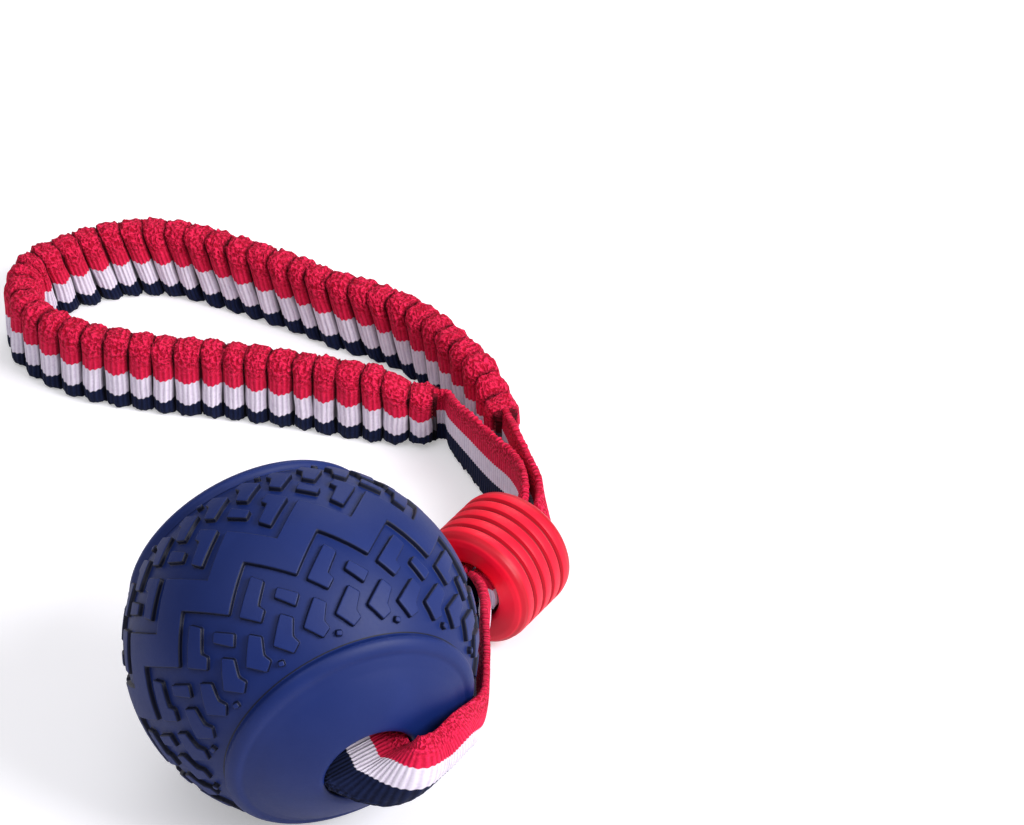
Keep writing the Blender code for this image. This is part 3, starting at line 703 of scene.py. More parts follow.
@dataclass
class TreadedBall:
    """The hollow-through rubber ball with its treaded band, rims and smooth caps."""

    radius: float = 37.5 * MM
    tread_depth: float = 1.1 * MM
    rim_height: float = 0.7 * MM
    cap_drop: float = 0.5 * MM
    lip: float = 0.9 * MM
    bore: float = 10.403 * MM
    treads: int = 14
    edge_angle: float = math.radians(40.0)
    start_angle: float = math.radians(-9.4)
    axis: Vector = Vector((0.4277, -0.8794, -0.2093)).normalized()
    front: Vector = Vector((0.036, -0.762, 0.646))
    lug_round: float = 0.45 * MM
    foot_round: float = 0.24 * MM
    grid_step: float = 2.2 * MM
    # Set low so that the rubber paints shade inside the bore
    bore_shade_relief: float = 0.3

    # Points of the outlines: shares of a tread's pitch along, and of the edge angle across
    RIB_SHARES = (0.346, 0.033)
    ELBOW_SHARES = (
        (-0.494, 0.163), (-0.086, 0.406), (-0.299, 0.550), (-0.436, 0.475), (-0.389, 0.419), (-0.611, 0.263))
    BLOCK_SHARES = ((-0.933, 0.488), (-0.708, 0.356), (-0.603, 0.425), (-0.805, 0.575))
    SHOULDER_SHARES = (
        (-0.214, 0.638), (-0.078, 0.556), (0.245, 0.750), (0.039, 0.894), (-0.124, 0.838), (-0.086, 0.769))
    DOT_SHARES = ((-0.280, 0.885), (-0.180, 0.870), (-0.150, 0.915), (-0.250, 0.935))
    # The rim: shares of the angle from the tread's edge to the bore, and of the rise to the rim's top
    RIM_SHARES = (
        (0.016, 0.02), (0.026, 0.16), (0.033, 0.42), (0.042, 0.72), (0.058, 0.91), (0.085, 0.99),
        (0.120, 1.0), (0.150, 0.96), (0.175, 0.84), (0.195, 0.66), (0.212, 0.52), (0.235, 0.47),
        (0.265, 0.46),
    )
    LUG_ROUND_SHARE = 0.33
    CAP_RINGS = 14
    LIP_RINGS = 4
    LIPS_DEEP = 3.0
    LIP_SHARE = 0.07

    @property
    def centre(self) -> Vector:
        """The ball's centre."""
        return TOY_PLACE + UP * self.radius

    @property
    def matrix(self) -> Matrix:
        """The ball's own frame, whose +Z is the bore's axis."""
        front = (self.front - self.axis * self.front.dot(self.axis)).normalized()
        return Matrix.Translation(self.centre) @ turned_to(front, self.axis.cross(front), self.axis)

    def shapes(self) -> list[tuple[Pair, ...]]:
        """Lay out the raised parts of one tread pitch.

        Returns:
            Their outlines, anticlockwise, in shares of the pitch and of the edge angle.
        """
        high, low = self.RIB_SHARES
        rib = ((0.0, -low), (0.5, -high), (1.0, -low), (1.0, high), (0.5, low), (0.0, high))
        moved = tuple((across - 0.5, up) for across, up in self.SHOULDER_SHARES)
        lugs = [self.ELBOW_SHARES, self.BLOCK_SHARES, self.SHOULDER_SHARES, moved, self.DOT_SHARES]
        turned = [tuple((-0.5 - across, -up) for across, up in lug) for lug in lugs]
        return [rib, *lugs, *turned]

    def flat_cell(self) -> bmesh.types.BMesh:
        """One pitch of the tread laid flat, its lugs raised and rounded.

        Returns:
            A sheet one pitch long in X, with heights in Z.
        """
        floor = self.radius - self.tread_depth
        wide = math.tau / self.treads * floor
        tall = self.edge_angle * floor
        # A sheet three pitches long, so that shapes which cross the middle pitch's ends are whole
        points = [Vector(corner) for corner in ((-1.0, -1.0), (2.0, -1.0), (2.0, 1.0), (-1.0, 1.0))]
        faces = [[0, 1, 2, 3]]
        for shift in range(-3, 4):
            for shape in self.shapes():
                first = len(points)
                points.extend(Vector((across + shift, up)) for across, up in shape)
                faces.append(list(range(first, len(points))))
        scaled = [Vector((point.x * wide, point.y * tall)) for point in points]
        verts, _, cells, _, _, origins = delaunay_2d_cdt(scaled, [], faces, 4, SPECK, True)
        sheet = bmesh.new()
        made = [sheet.verts.new((point.x, point.y, 0.0)) for point in verts]
        raised = []
        for cell, came_from in zip(cells, origins):
            if 0 in came_from:
                face = sheet.faces.new([made[index] for index in cell])
                if any(origin > 0 for origin in came_from):
                    raised.append(face)
        bmesh.ops.delete(sheet, geom=[vert for vert in sheet.verts if not vert.link_faces], context="VERTS")
        inner = {
            edge for face in raised for edge in face.edges
            if len(edge.link_faces) == 2 and all(other in raised for other in edge.link_faces)
        }
        self._raise(sheet, raised, inner)
        self._round(sheet)
        for place, outward in ((0.0, -1.0), (wide, 1.0)):
            bmesh.ops.bisect_plane(
                sheet, geom=[*sheet.verts, *sheet.edges, *sheet.faces], dist=SPECK,
                plane_co=(place, 0.0, 0.0), plane_no=(outward, 0.0, 0.0), clear_outer=True)
        self._grid(sheet, wide, tall)
        self._match(sheet, wide)
        bmesh.ops.triangulate(sheet, faces=sheet.faces, quad_method="BEAUTY", ngon_method="BEAUTY")
        return sheet

    def _raise(self, sheet: bmesh.types.BMesh, raised: list, inner: set) -> None:
        """Extrude the raised faces upwards.

        Args:
            sheet: the flat tread.
            raised: its raised faces.
            inner: the edges between raised faces, which are dissolved.
        """
        for face in raised:
            face.tag = True
        if inner:
            bmesh.ops.dissolve_edges(sheet, edges=list(inner), use_verts=False)
        raised = [face for face in sheet.faces if face.tag]
        lifted = bmesh.ops.extrude_face_region(sheet, geom=raised)
        for item in lifted["geom"]:
            if isinstance(item, bmesh.types.BMVert):
                item.co.z = self.tread_depth
        stale = [face for face in raised if face.is_valid and all(vert.co.z == 0.0 for vert in face.verts)]
        bmesh.ops.delete(sheet, geom=stale, context="FACES_ONLY")

    def _round(self, sheet: bmesh.types.BMesh) -> None:
        """Round each lug's corners and top edges together, then all the feet.

        Args:
            sheet: the raised tread.
        """
        def bevel(edges: list, offset: float, clamp: bool) -> None:
            """Bevel some edges."""
            bmesh.ops.bevel(
                sheet, geom=edges, offset=offset, offset_type="OFFSET", affect="EDGES", segments=3,
                profile=0.5, material=-1, clamp_overlap=clamp)

        def level(edge: bmesh.types.BMEdge, height: float) -> bool:
            """Whether an edge lies at a height and has a wall beside it."""
            flat = all(abs(vert.co.z - height) < HAIR for vert in edge.verts)
            return flat and any(abs(face.normal.z) < 0.5 for face in edge.link_faces)

        def upright(edge: bmesh.types.BMEdge) -> bool:
            """Whether an edge stands between two walls."""
            rise = abs(edge.verts[0].co.z - edge.verts[1].co.z)
            return rise > 0.5 * self.tread_depth and len(edge.link_faces) == 2

        def key(place: Vector) -> tuple[float, ...]:
            """A place in the plane, rounded to be looked up."""
            return tuple(round(value / MM, 3) for value in place.xy)

        sheet.normal_update()
        tops = [[vert.co.copy() for vert in face.verts] for face in sheet.faces
                if all(vert.co.z > 0.5 * self.tread_depth for vert in face.verts)]
        for corners in tops:
            sides = [(after - before).length for before, after in zip(corners, [*corners[1:], corners[0]])]
            near = {key(corner) for corner in corners}
            edges = [edge for edge in sheet.edges if all(key(vert.co) in near for vert in edge.verts)
                     and (upright(edge) or level(edge, self.tread_depth))]
            bevel(edges, min(self.lug_round, self.LUG_ROUND_SHARE * min(sides)), True)
        sheet.normal_update()
        bevel([edge for edge in sheet.edges if level(edge, 0.0)], self.foot_round, False)

    def _grid(self, sheet: bmesh.types.BMesh, wide: float, tall: float) -> None:
        """Cut the sheet across both ways, so that it can follow the ball.

        Args:
            sheet: the rounded tread.
            wide: its length in X.
            tall: half its length in Y.
        """
        columns = round(wide / self.grid_step)
        rows = round(2.0 * tall / self.grid_step)
        cuts = [((wide * column / columns, 0.0, 0.0), (1.0, 0.0, 0.0)) for column in range(1, columns)]
        cuts += [((0.0, tall * (2.0 * row / rows - 1.0), 0.0), (0.0, 1.0, 0.0)) for row in range(1, rows)]
        for place, normal in cuts:
            bmesh.ops.bisect_plane(
                sheet, geom=[*sheet.verts, *sheet.edges, *sheet.faces], dist=HAIR,
                plane_co=place, plane_no=normal)

    @staticmethod
    def _match(sheet: bmesh.types.BMesh, wide: float) -> None:
        """Give both ends of the sheet the same vertices, so that copies of it join.

        Args:
            sheet: the tread, cut to one pitch.
            wide: its length in X.
        """
        near = 2.0 * HAIR
        for here, there in ((0.0, wide), (wide, 0.0)):
            marks = [vert.co.yz for vert in sheet.verts if abs(vert.co.x - here) < near]
            rim = [edge for edge in sheet.edges if all(abs(vert.co.x - there) < near for vert in edge.verts)]
            for mark in marks:
                for edge in rim:
                    first, last = edge.verts
                    run = last.co.yz - first.co.yz
                    part = (mark - first.co.yz).dot(run) / run.length_squared
                    off = (first.co.yz + run * part - mark).length
                    if off < near and near < part * run.length < run.length - near:
                        fresh, _ = bmesh.utils.edge_split(edge, first, part)
                        rim.append(fresh)
                        break

    def build(self) -> Piece:
        """Bend the tread round the ball, and pull the rims, the caps and the bore from its edges.

        Returns:
            The ball.
        """
        cell = self.flat_cell()
        flat = bpy.data.meshes.new("tread_cell")
        cell.to_mesh(flat)
        cell.free()
        piece = Piece("tread_ball")
        floor = self.radius - self.tread_depth
        pitch = math.tau / self.treads
        for turn in range(self.treads):
            before = set(piece.mesh.verts)
            piece.mesh.from_mesh(flat)
            for vert in piece.mesh.verts:
                if vert in before:
                    continue
                longitude = self.start_angle + turn * pitch + vert.co.x / floor
                latitude = vert.co.y / floor
                vert[piece.relief] = min(1.0, max(0.0, vert.co.z / self.tread_depth))
                vert.co = self.on_ball(longitude, latitude, floor + vert.co.z)
        bpy.data.meshes.remove(flat)
        bmesh.ops.remove_doubles(piece.mesh, verts=piece.mesh.verts, dist=4.0 * HAIR)
        border = [edge for edge in piece.mesh.edges if edge.is_boundary]
        for side in (1.0, -1.0):
            edges = [edge for edge in border if edge.verts[0].co.z * side > 0.0]
            for angle, radius in self.cap_profile():
                edges = self.pull(piece, edges, side, angle, radius, 1.0)
            # The bore's ring takes a low relief, for painted shade inside the bore
            self.pull(piece, edges, side, None, self.bore, self.bore_shade_relief)
        rims = [edge for edge in piece.mesh.edges if edge.is_boundary]
        bmesh.ops.bridge_loops(piece.mesh, edges=rims)
        bmesh.ops.transform(piece.mesh, matrix=self.matrix, verts=piece.mesh.verts)
        return piece

    @staticmethod
    def on_ball(longitude: float, latitude: float, radius: float) -> Vector:
        """A point in the ball's own frame."""
        level = radius * math.cos(latitude)
        return Vector((level * math.cos(longitude), level * math.sin(longitude), radius * math.sin(latitude)))

    def cap_profile(self) -> list[Pair]:
        """Lay out the rings from the tread's edge into the bore.

        Returns:
            Each ring's angle and radius.
        """
        cap = self.radius - self.cap_drop
        floor = self.radius - self.tread_depth
        span = math.acos(self.bore / cap) - self.edge_angle
        rise = self.radius + self.rim_height - floor
        rings = [(around, floor + up * rise) for around, up in self.RIM_SHARES]
        first = self.RIM_SHARES[-1][0]
        lip_start = 1.0 - self.LIP_SHARE
        for ring in range(1, self.CAP_RINGS + 1):
            rings.append((first + (lip_start - first) * ring / self.CAP_RINGS, cap))
        for ring in range(1, self.LIP_RINGS + 1):
            turn = math.pi / 2.0 * ring / self.LIP_RINGS
            inwards = self.lip * (1.0 - math.cos(turn))
            rings.append((lip_start + self.LIP_SHARE * math.sin(turn), cap - inwards))
        return [(self.edge_angle + around * span, radius) for around, radius in rings]

    def pull(
        self, piece: Piece, edges: list, side: float, angle: float | None, radius: float, relief: float,
    ) -> list:
        """Extrude a ring of edges and set each new vertex on its own longitude.

        Args:
            piece: the ball.
            edges: the ring.
            side: which half of the ball it is on.
            angle: its new latitude, or None for a ring inside the bore.
            radius: its new radius.
            relief: its relief.

        Returns:
            The new ring.
        """
        pulled = bmesh.ops.extrude_edge_only(piece.mesh, edges=edges)
        fresh = [item for item in pulled["geom"] if isinstance(item, bmesh.types.BMEdge)]
        for vert in {vert for edge in fresh for vert in edge.verts}:
            longitude = math.atan2(vert.co.y, vert.co.x)
            if angle is None:
                mouth = math.sqrt((self.radius - self.cap_drop) ** 2 - radius ** 2)
                depth = mouth - self.LIPS_DEEP * self.lip
                vert.co = (radius * math.cos(longitude), radius * math.sin(longitude), side * depth)
            else:
                vert.co = self.on_ball(longitude, side * angle, radius)
            vert[piece.relief] = relief
        return fresh

    def smooth_normals(self, made: bpy.types.Object) -> None:
        """Let the tread's flat tops and its floor shade as parts of the sphere.

        Args:
            made: the finished ball.
        """
        mesh = made.data
        turn = self.matrix.inverted()
        reliefs = mesh.attributes[RELIEF].data
        normals = []
        for vert, entry in zip(mesh.vertices, reliefs):
            own = turn @ vert.co
            band = abs(math.asin(max(-1.0, min(1.0, own.z / own.length)))) < self.edge_angle - 0.001
            is_flat = band and (entry.value > 0.999 or entry.value < 0.001)
            normals.append((vert.co - self.centre).normalized() if is_flat else vert.normal.copy())
        mesh.normals_split_custom_set_from_vertices(normals)

    def place(self, material: bpy.types.Material) -> None:
        """Build the ball and set it on its body.

        Args:
            material: its rubber.
        """
        made = self.build().done(material, Slot.BALL)
        self.smooth_normals(made)
        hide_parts("ball")
        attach(made, Body.BALL.value)


@dataclass
class GroovedBead:
    """The short rubber bead with grooves round it."""

    radius: float = 14.2 * MM
    bore: float = 7.105 * MM
    half_length: float = 10.2 * MM
    groove_pitch: float = 3.54 * MM
    groove_width: float = 1.3 * MM
    groove_depth: float = 0.8 * MM
    grooves: int = 4
    sides: int = 128
    centre: Vector = TOY_PLACE + Vector((40.5, 52.95, 14.2)) * MM
    axis: Vector = Vector((0.546, 0.838, 0.0)).normalized()
    end_round: float = 0.6 * MM
    groove_round: float = 0.34 * MM

    END_SHARES = (
        (0.30, 0.0), (0.08, 0.06), (0.0, 0.16), (0.0, 0.66), (0.087, 0.83), (0.325, 0.955), (0.65, 1.0))
    GROOVE_SHARES = ((-1.0, 0.0), (-0.35, 1.0), (0.35, 1.0), (1.0, 0.0))

    @property
    def side(self) -> Vector:
        """The level direction beside the bead."""
        return self.axis.cross(UP)

    def profile(self) -> list[tuple[float, float, float]]:
        """Lay out the section from one end of the bore over the ribs to the other.

        Returns:
            The place along the bead, the place out from its axis and the rounding of each corner.
        """
        first = -(self.grooves - 1) / 2.0 * self.groove_pitch
        half = self.groove_width / 2.0
        rounding = self.half_length + first - half
        reach = self.radius - self.bore
        end = [
            (-self.half_length + inward * rounding, self.bore + outward * reach, self.end_round)
            for inward, outward in self.END_SHARES
        ]
        ribs = [
            (first + groove * self.groove_pitch + half * along, self.radius - out * self.groove_depth,
             self.groove_round)
            for groove in range(self.grooves) for along, out in self.GROOVE_SHARES
        ]
        return end + ribs + [(-along, out, soft) for along, out, soft in reversed(end)]

    def build(self) -> Piece:
        """Spin the section round the bore and round its corners.

        Returns:
            The bead.
        """
        piece = Piece("groove_bead")
        sheet = piece.mesh
        points = self.profile()
        outline = [sheet.verts.new((out, 0.0, along)) for along, out, _ in points]
        edges = [sheet.edges.new(pair) for pair in zip(outline, [*outline[1:], outline[0]])]
        # The relief marks the grooves, which the rubber darkens with painted shade; the ends are kept at 1 to
        # keep painted shade off them
        for vert, (_, out, _) in zip(outline, points):
            vert[piece.relief] = ease((out - (self.radius - self.groove_depth)) / self.groove_depth)
            if out < self.radius - 1.5 * self.groove_depth:
                vert[piece.relief] = 1.0
        bmesh.ops.spin(
            sheet, geom=[*outline, *edges], cent=(0, 0, 0), axis=(0, 0, 1), angle=math.tau,
            steps=self.sides, use_merge=True)
        bmesh.ops.remove_doubles(sheet, verts=sheet.verts, dist=HAIR)
        bmesh.ops.recalc_face_normals(sheet, faces=sheet.faces)
        for soft in sorted({soft for _, _, soft in points}):
            rings = [
                edge for edge in sheet.edges
                if abs(edge.verts[0].co.z - edge.verts[1].co.z) < GRAIN
                and any(abs(edge.verts[0].co.z - along) < HAIR and abs(edge.verts[0].co.xy.length - out) < HAIR
                        and own == soft for along, out, own in points)
            ]
            bmesh.ops.bevel(
                sheet, geom=rings, offset=soft, offset_type="OFFSET", affect="EDGES", segments=3,
                profile=0.5, material=-1, clamp_overlap=True)
        place = Matrix.Translation(self.centre) @ turned_to(UP, -self.side, self.axis)
        bmesh.ops.transform(sheet, matrix=place, verts=sheet.verts)
        return piece

    def place(self, material: bpy.types.Material) -> None:
        """Build the bead and set it on its body.

        Args:
            material: its rubber.
        """
        made = self.build().done(material, Slot.BEAD)
        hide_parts("bead")
        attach(made, Body.BEAD.value)


@dataclass
class GatheredHandle:
    """The hand loop: webbing gathered in puffs on an elastic band."""

    bead: GroovedBead
    reach: float = 100.0 * MM
    setback: float = 0.5 * MM
    pitch: float = 5.5 * MM
    puff_thickness: float = 8.5 * MM
    pinch_thickness: float = 4.6 * MM
    puff_height: float = 19.5 * MM
    pinch_height: float = 18.2 * MM
    plain_thickness: float = 4.1 * MM
    flat_depth: float = 0.5 * MM
    end_height: float = 13.8 * MM
    end_rise: float = 0.9 * MM
    plain_length: float = 4.0 * MM
    end_length: float = 0.8 * MM
    end_taper: float = 12.0 * MM
    corner: float = 3.1 * MM
    stripe_drop: float = 1.5 * MM
    stripe_spread: float = 1.10
    rib_share: float = 0.80
    sag: float = 0.75 * MM
    far_lean: float = 0.28
    lean_fade: float = 25.0 * MM
    end_power: float = 0.80
    side_power: float = 0.42
    ridge_share: float = 0.26
    ridge_power: float = 1.2
    pitch_wander: float = 0.16
    ridge_wander: float = 0.09
    puff_wander: float = 0.12
    height_wander: float = 0.020
    edge_share: float = 0.62
    top_fill: float = 0.55
    low_fill: float = 0.20
    knot_height: float = 0.75 * MM
    rib_height: float = 0.10 * MM
    pinch_sway: float = 0.45 * MM
    # How far the crowns' relief is lifted, to keep the painted pinch shade off them in patches
    crown_shade_lift: float = 0.35
    floor_gap: float = 0.02 * MM
    band_width: float = 11.0 * MM
    band_thickness: float = 1.2 * MM
    band_inset: float = 0.5 * MM
    band_stations: int = 120
    rings_per_puff: int = 32
    rows: int = 58

    # The loop's middle line from the bead: shares of its reach across and away
    PLAN_SHARES = (
        (-0.190, 0.536), (-0.240, 0.542), (-0.320, 0.556), (-0.480, 0.600), (-0.650, 0.642),
        (-0.830, 0.670), (-0.993, 0.716), (-1.100, 0.785), (-1.158, 0.880), (-1.145, 0.985),
        (-1.053, 1.066), (-0.923, 1.117), (-0.803, 1.112), (-0.693, 1.066), (-0.553, 0.992),
        (-0.433, 0.917), (-0.333, 0.866), (-0.243, 0.801), (-0.153, 0.690), (-0.083, 0.580),
        (-0.045, 0.500), (-0.033, 0.460),
    )

    def __post_init__(self) -> None:
        """Lay the loop's middle line."""
        mouth = self.bead.centre + self.bead.axis * (self.bead.half_length + self.setback)
        height = self.puff_height / 2.0 - self.flat_depth
        stations = [
            Station(Vector((mouth.x + across * self.reach, mouth.y + away * self.reach, height)), UP)
            for across, away in self.PLAN_SHARES
        ]
        self.mouth = mouth
        self.height = height
        self.route = Route(stations)
        self.gathered = self.route.length - 2.0 * self.end_length
        self.gathers = round(self.gathered / self.pitch)
        self.outline = [self._corner_spot(row / self.rows) for row in range(self.rows)]

    def _corner_spot(self, part: float) -> tuple[float, float, float]:
        """A point of a full gather's outline, a rectangle with round corners.

        Args:
            part: how far round it is, from the middle of the top.

        Returns:
            Its height and its thickness in shares of the gather's, and the run across the webbing.
        """
        tall, wide, radius = self.puff_height / 2.0, self.puff_thickness / 2.0, self.corner
        top, bend, side = wide - radius, radius * math.pi / 2.0, tall - radius
        whole = top + bend + side
        around = part * 4.0
        quarter = int(around) % 4
        run = (around - int(around)) * whole
        run = run if quarter % 2 == 0 else whole - run
        turn = min(max((run - top) / radius, 0.0), math.pi / 2.0)
        out = min(run, top) + radius * math.sin(turn)
        up = radius * math.cos(turn) + max(whole - top - bend - max(run - top - bend, 0.0), 0.0)
        across = whole - run
        low = quarter in (1, 2)
        inner = quarter in (2, 3)
        return (-up if low else up) / tall, (-out if inner else out) / wide, -across if low else across

    def fullness(self, distance: float) -> float:
        """How far the gathers have grown: 0 at both ends of the loop, 1 between."""
        from_end = min(distance, self.route.length - distance)
        return ease((from_end - self.plain_length) / self.end_taper)

    def spot(self, distance: float) -> Spot:
        """Look up the loop, lifted where its ends are drawn in.

        Args:
            distance: how far along it.

        Returns:
            The spot there.
        """
        at = self.route.spot(distance)
        end = self.end_rise + self.end_height / 2.0
        place = Vector((at.place.x, at.place.y, end + (self.height - end) * self.fullness(distance)))
        return Spot(place, at.forward, UP, at.forward.cross(UP), 0.0, 1.0)

    def rings(self) -> list[tuple[float, float, int]]:
        """Lay out the rings of all the gathers.

        Returns:
            Each ring's distance along, how far through its gather it is from 0 to 1, and the gather.
        """
        pitch = self.gathered / self.gathers
        starts = [
            self.end_length + pitch * (gather + wander * noise.noise(Vector((gather * 2.7, 0.5, 0.0))))
            for gather, wander in enumerate((0.0, *[self.pitch_wander] * (self.gathers - 1), 0.0))
        ]
        places = [(0.0, 0.0, 0)]
        for gather, (start, end) in enumerate(zip(starts, starts[1:])):
            for ring in range(self.rings_per_puff):
                through = ring / self.rings_per_puff
                along = 0.5 - 0.5 * bent(math.cos(math.pi * through), self.end_power)
                places.append((start + along * (end - start), along, gather))
        return [*places, (starts[-1], 0.0, self.gathers), (self.route.length, 0.0, self.gathers)]

    def bulge(self, through: float) -> float:
        """Work out how far a gather stands out.

        Args:
            through: how far through the gather, from 0 to 1.

        Returns:
            0 in the pinches, up to 1 at the ridge of its middle.
        """
        part = min(max((through - 0.02) / 0.96, 0.0), 1.0)
        side = math.sin(math.pi * part) ** self.side_power
        ridge = 1.0 - abs(2.0 * part - 1.0) ** self.ridge_power
        return (1.0 - self.ridge_share) * side + self.ridge_share * ridge

    def build(self) -> Piece:
        """Wrap the webbing round the gathers.

        Returns:
            The gathered webbing.
        """
        piece = Piece("gathered_handle")
        rings = self.rings()
        spots = [self.spot(distance) for distance, _, _ in rings]
        deep = (self.puff_thickness - self.pinch_thickness) / 2.0
        runs = [0.0]
        for before, after in zip(rings, rings[1:]):
            rise = (self.bulge(after[1]) - self.bulge(before[1])) * deep
            runs.append(runs[-1] + math.hypot(after[0] - before[0], rise))

        def spot(column: int, row: int) -> tuple[Vector, float]:
            """Place one point.

            Args:
                column: the ring.
                row: the row round it.

            Returns:
                Its place and its relief.
            """
            distance, through, gather = rings[column]
            at = spots[column]
            high, wide, _ = self.outline[row]
            seed = Vector((gather * 3.7, 5.1 if wide >= 0.0 else 0.0, high * 0.6))
            lean = self.ridge_wander * noise.noise(seed)
            skewed = min(max(through + lean * math.sin(math.pi * through), 0.0), 1.0)
            puff = self.bulge(skewed)
            full = 1.0 + self.puff_wander * noise.noise(seed * 1.7 + Vector((0.0, 4.0, 0.0)))
            edge = ease((abs(high) - self.edge_share) / (1.0 - self.edge_share))
            filled = puff + (1.0 - puff) * edge * (self.top_fill if high > 0.0 else self.low_fill)
            swell = self.pinch_thickness + (self.puff_thickness * full - self.pinch_thickness) * filled
            low = self.pinch_height / self.puff_height
            tall = low + (1.0 - low) * math.sin(math.pi * skewed) ** 0.55
            tall += self.height_wander * noise.noise(Vector((gather * 5.3, 9.0, 0.0))) * puff
            height = (self.end_height + (self.puff_height - self.end_height) * self.fullness(distance)) * tall
            run = runs[column] / MM * self.rib_share
            where = Vector((run * 1.05, wide * swell / MM * 0.7, high * 6.0 + gather * 1.3))
            knot = noise.noise(where) * self.knot_height * edge
            rib = math.cos(math.tau * run * MM / WEB.rib_pitch) * self.rib_height * (1.0 - 0.7 * edge)
            droop = self.sag * (1.0 - abs(2.0 * skewed - 1.0)) * (1.0 - high ** 4)
            sway = noise.noise(seed + Vector((0.0, 7.0, high))) * self.pinch_sway * (1.0 - 0.6 * puff)
            up = high * height / 2.0 + knot * high - droop
            out = wide * (swell / 2.0 + rib + knot * 0.6)
            fade = ease(at.forward.x / 0.9) * ease((self.route.length - distance) / self.lean_fade)
            sway -= self.far_lean * fade * up
            place = at.place + at.across * up + at.out * out + at.forward * sway
            place.z = max(place.z, self.floor_gap)
            # The relief is the puff's bulge, which the webbing turns into painted shade in the pinches; on the
            # crowns it is lifted by an uneven share, to thin out that painted shade
            lighter = self.crown_shade_lift * edge
            return place, puff * (1.0 - lighter) + lighter * (0.5 + noise.noise(where) * 0.9)

        def share(row: int) -> float:
            """The share across the webbing, which runs on over the top and the bottom."""
            return 0.5 + (self.outline[row][2] + self.stripe_drop) / (WEB.width * self.stripe_spread)

        piece.wrap(len(rings) - 1, self.rows, spot, lambda column: runs[column] / MM * self.rib_share, share)
        return piece

    def place(self, webbing: bpy.types.Material, elastic: bpy.types.Material) -> None:
        """Build the handle and its elastic, and set them on the strap.

        Args:
            webbing: the finish of the webbing.
            elastic: the finish of the elastic.
        """
        made = self.build().done(webbing, Slot.WEBBING)
        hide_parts("handle_webbing")
        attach(made, Body.STRAP.value)
        inside = self.route.length - 2.0 * self.band_inset
        stations = []
        for index in range(self.band_stations + 1):
            at = self.spot(self.band_inset + inside * index / self.band_stations)
            stations.append(Station(at.place, UP, 0.0, self.band_width))
        band = Route(stations, 2.0 * MM)
        inner = Strip(band, thickness=self.band_thickness, rings_per_rib=1)
        made = inner.build("elastic_core", 0.0, band.length, ribs=False).done(elastic, Slot.ELASTIC)
        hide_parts("elastic_band")
        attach(made, Body.STRAP.value)


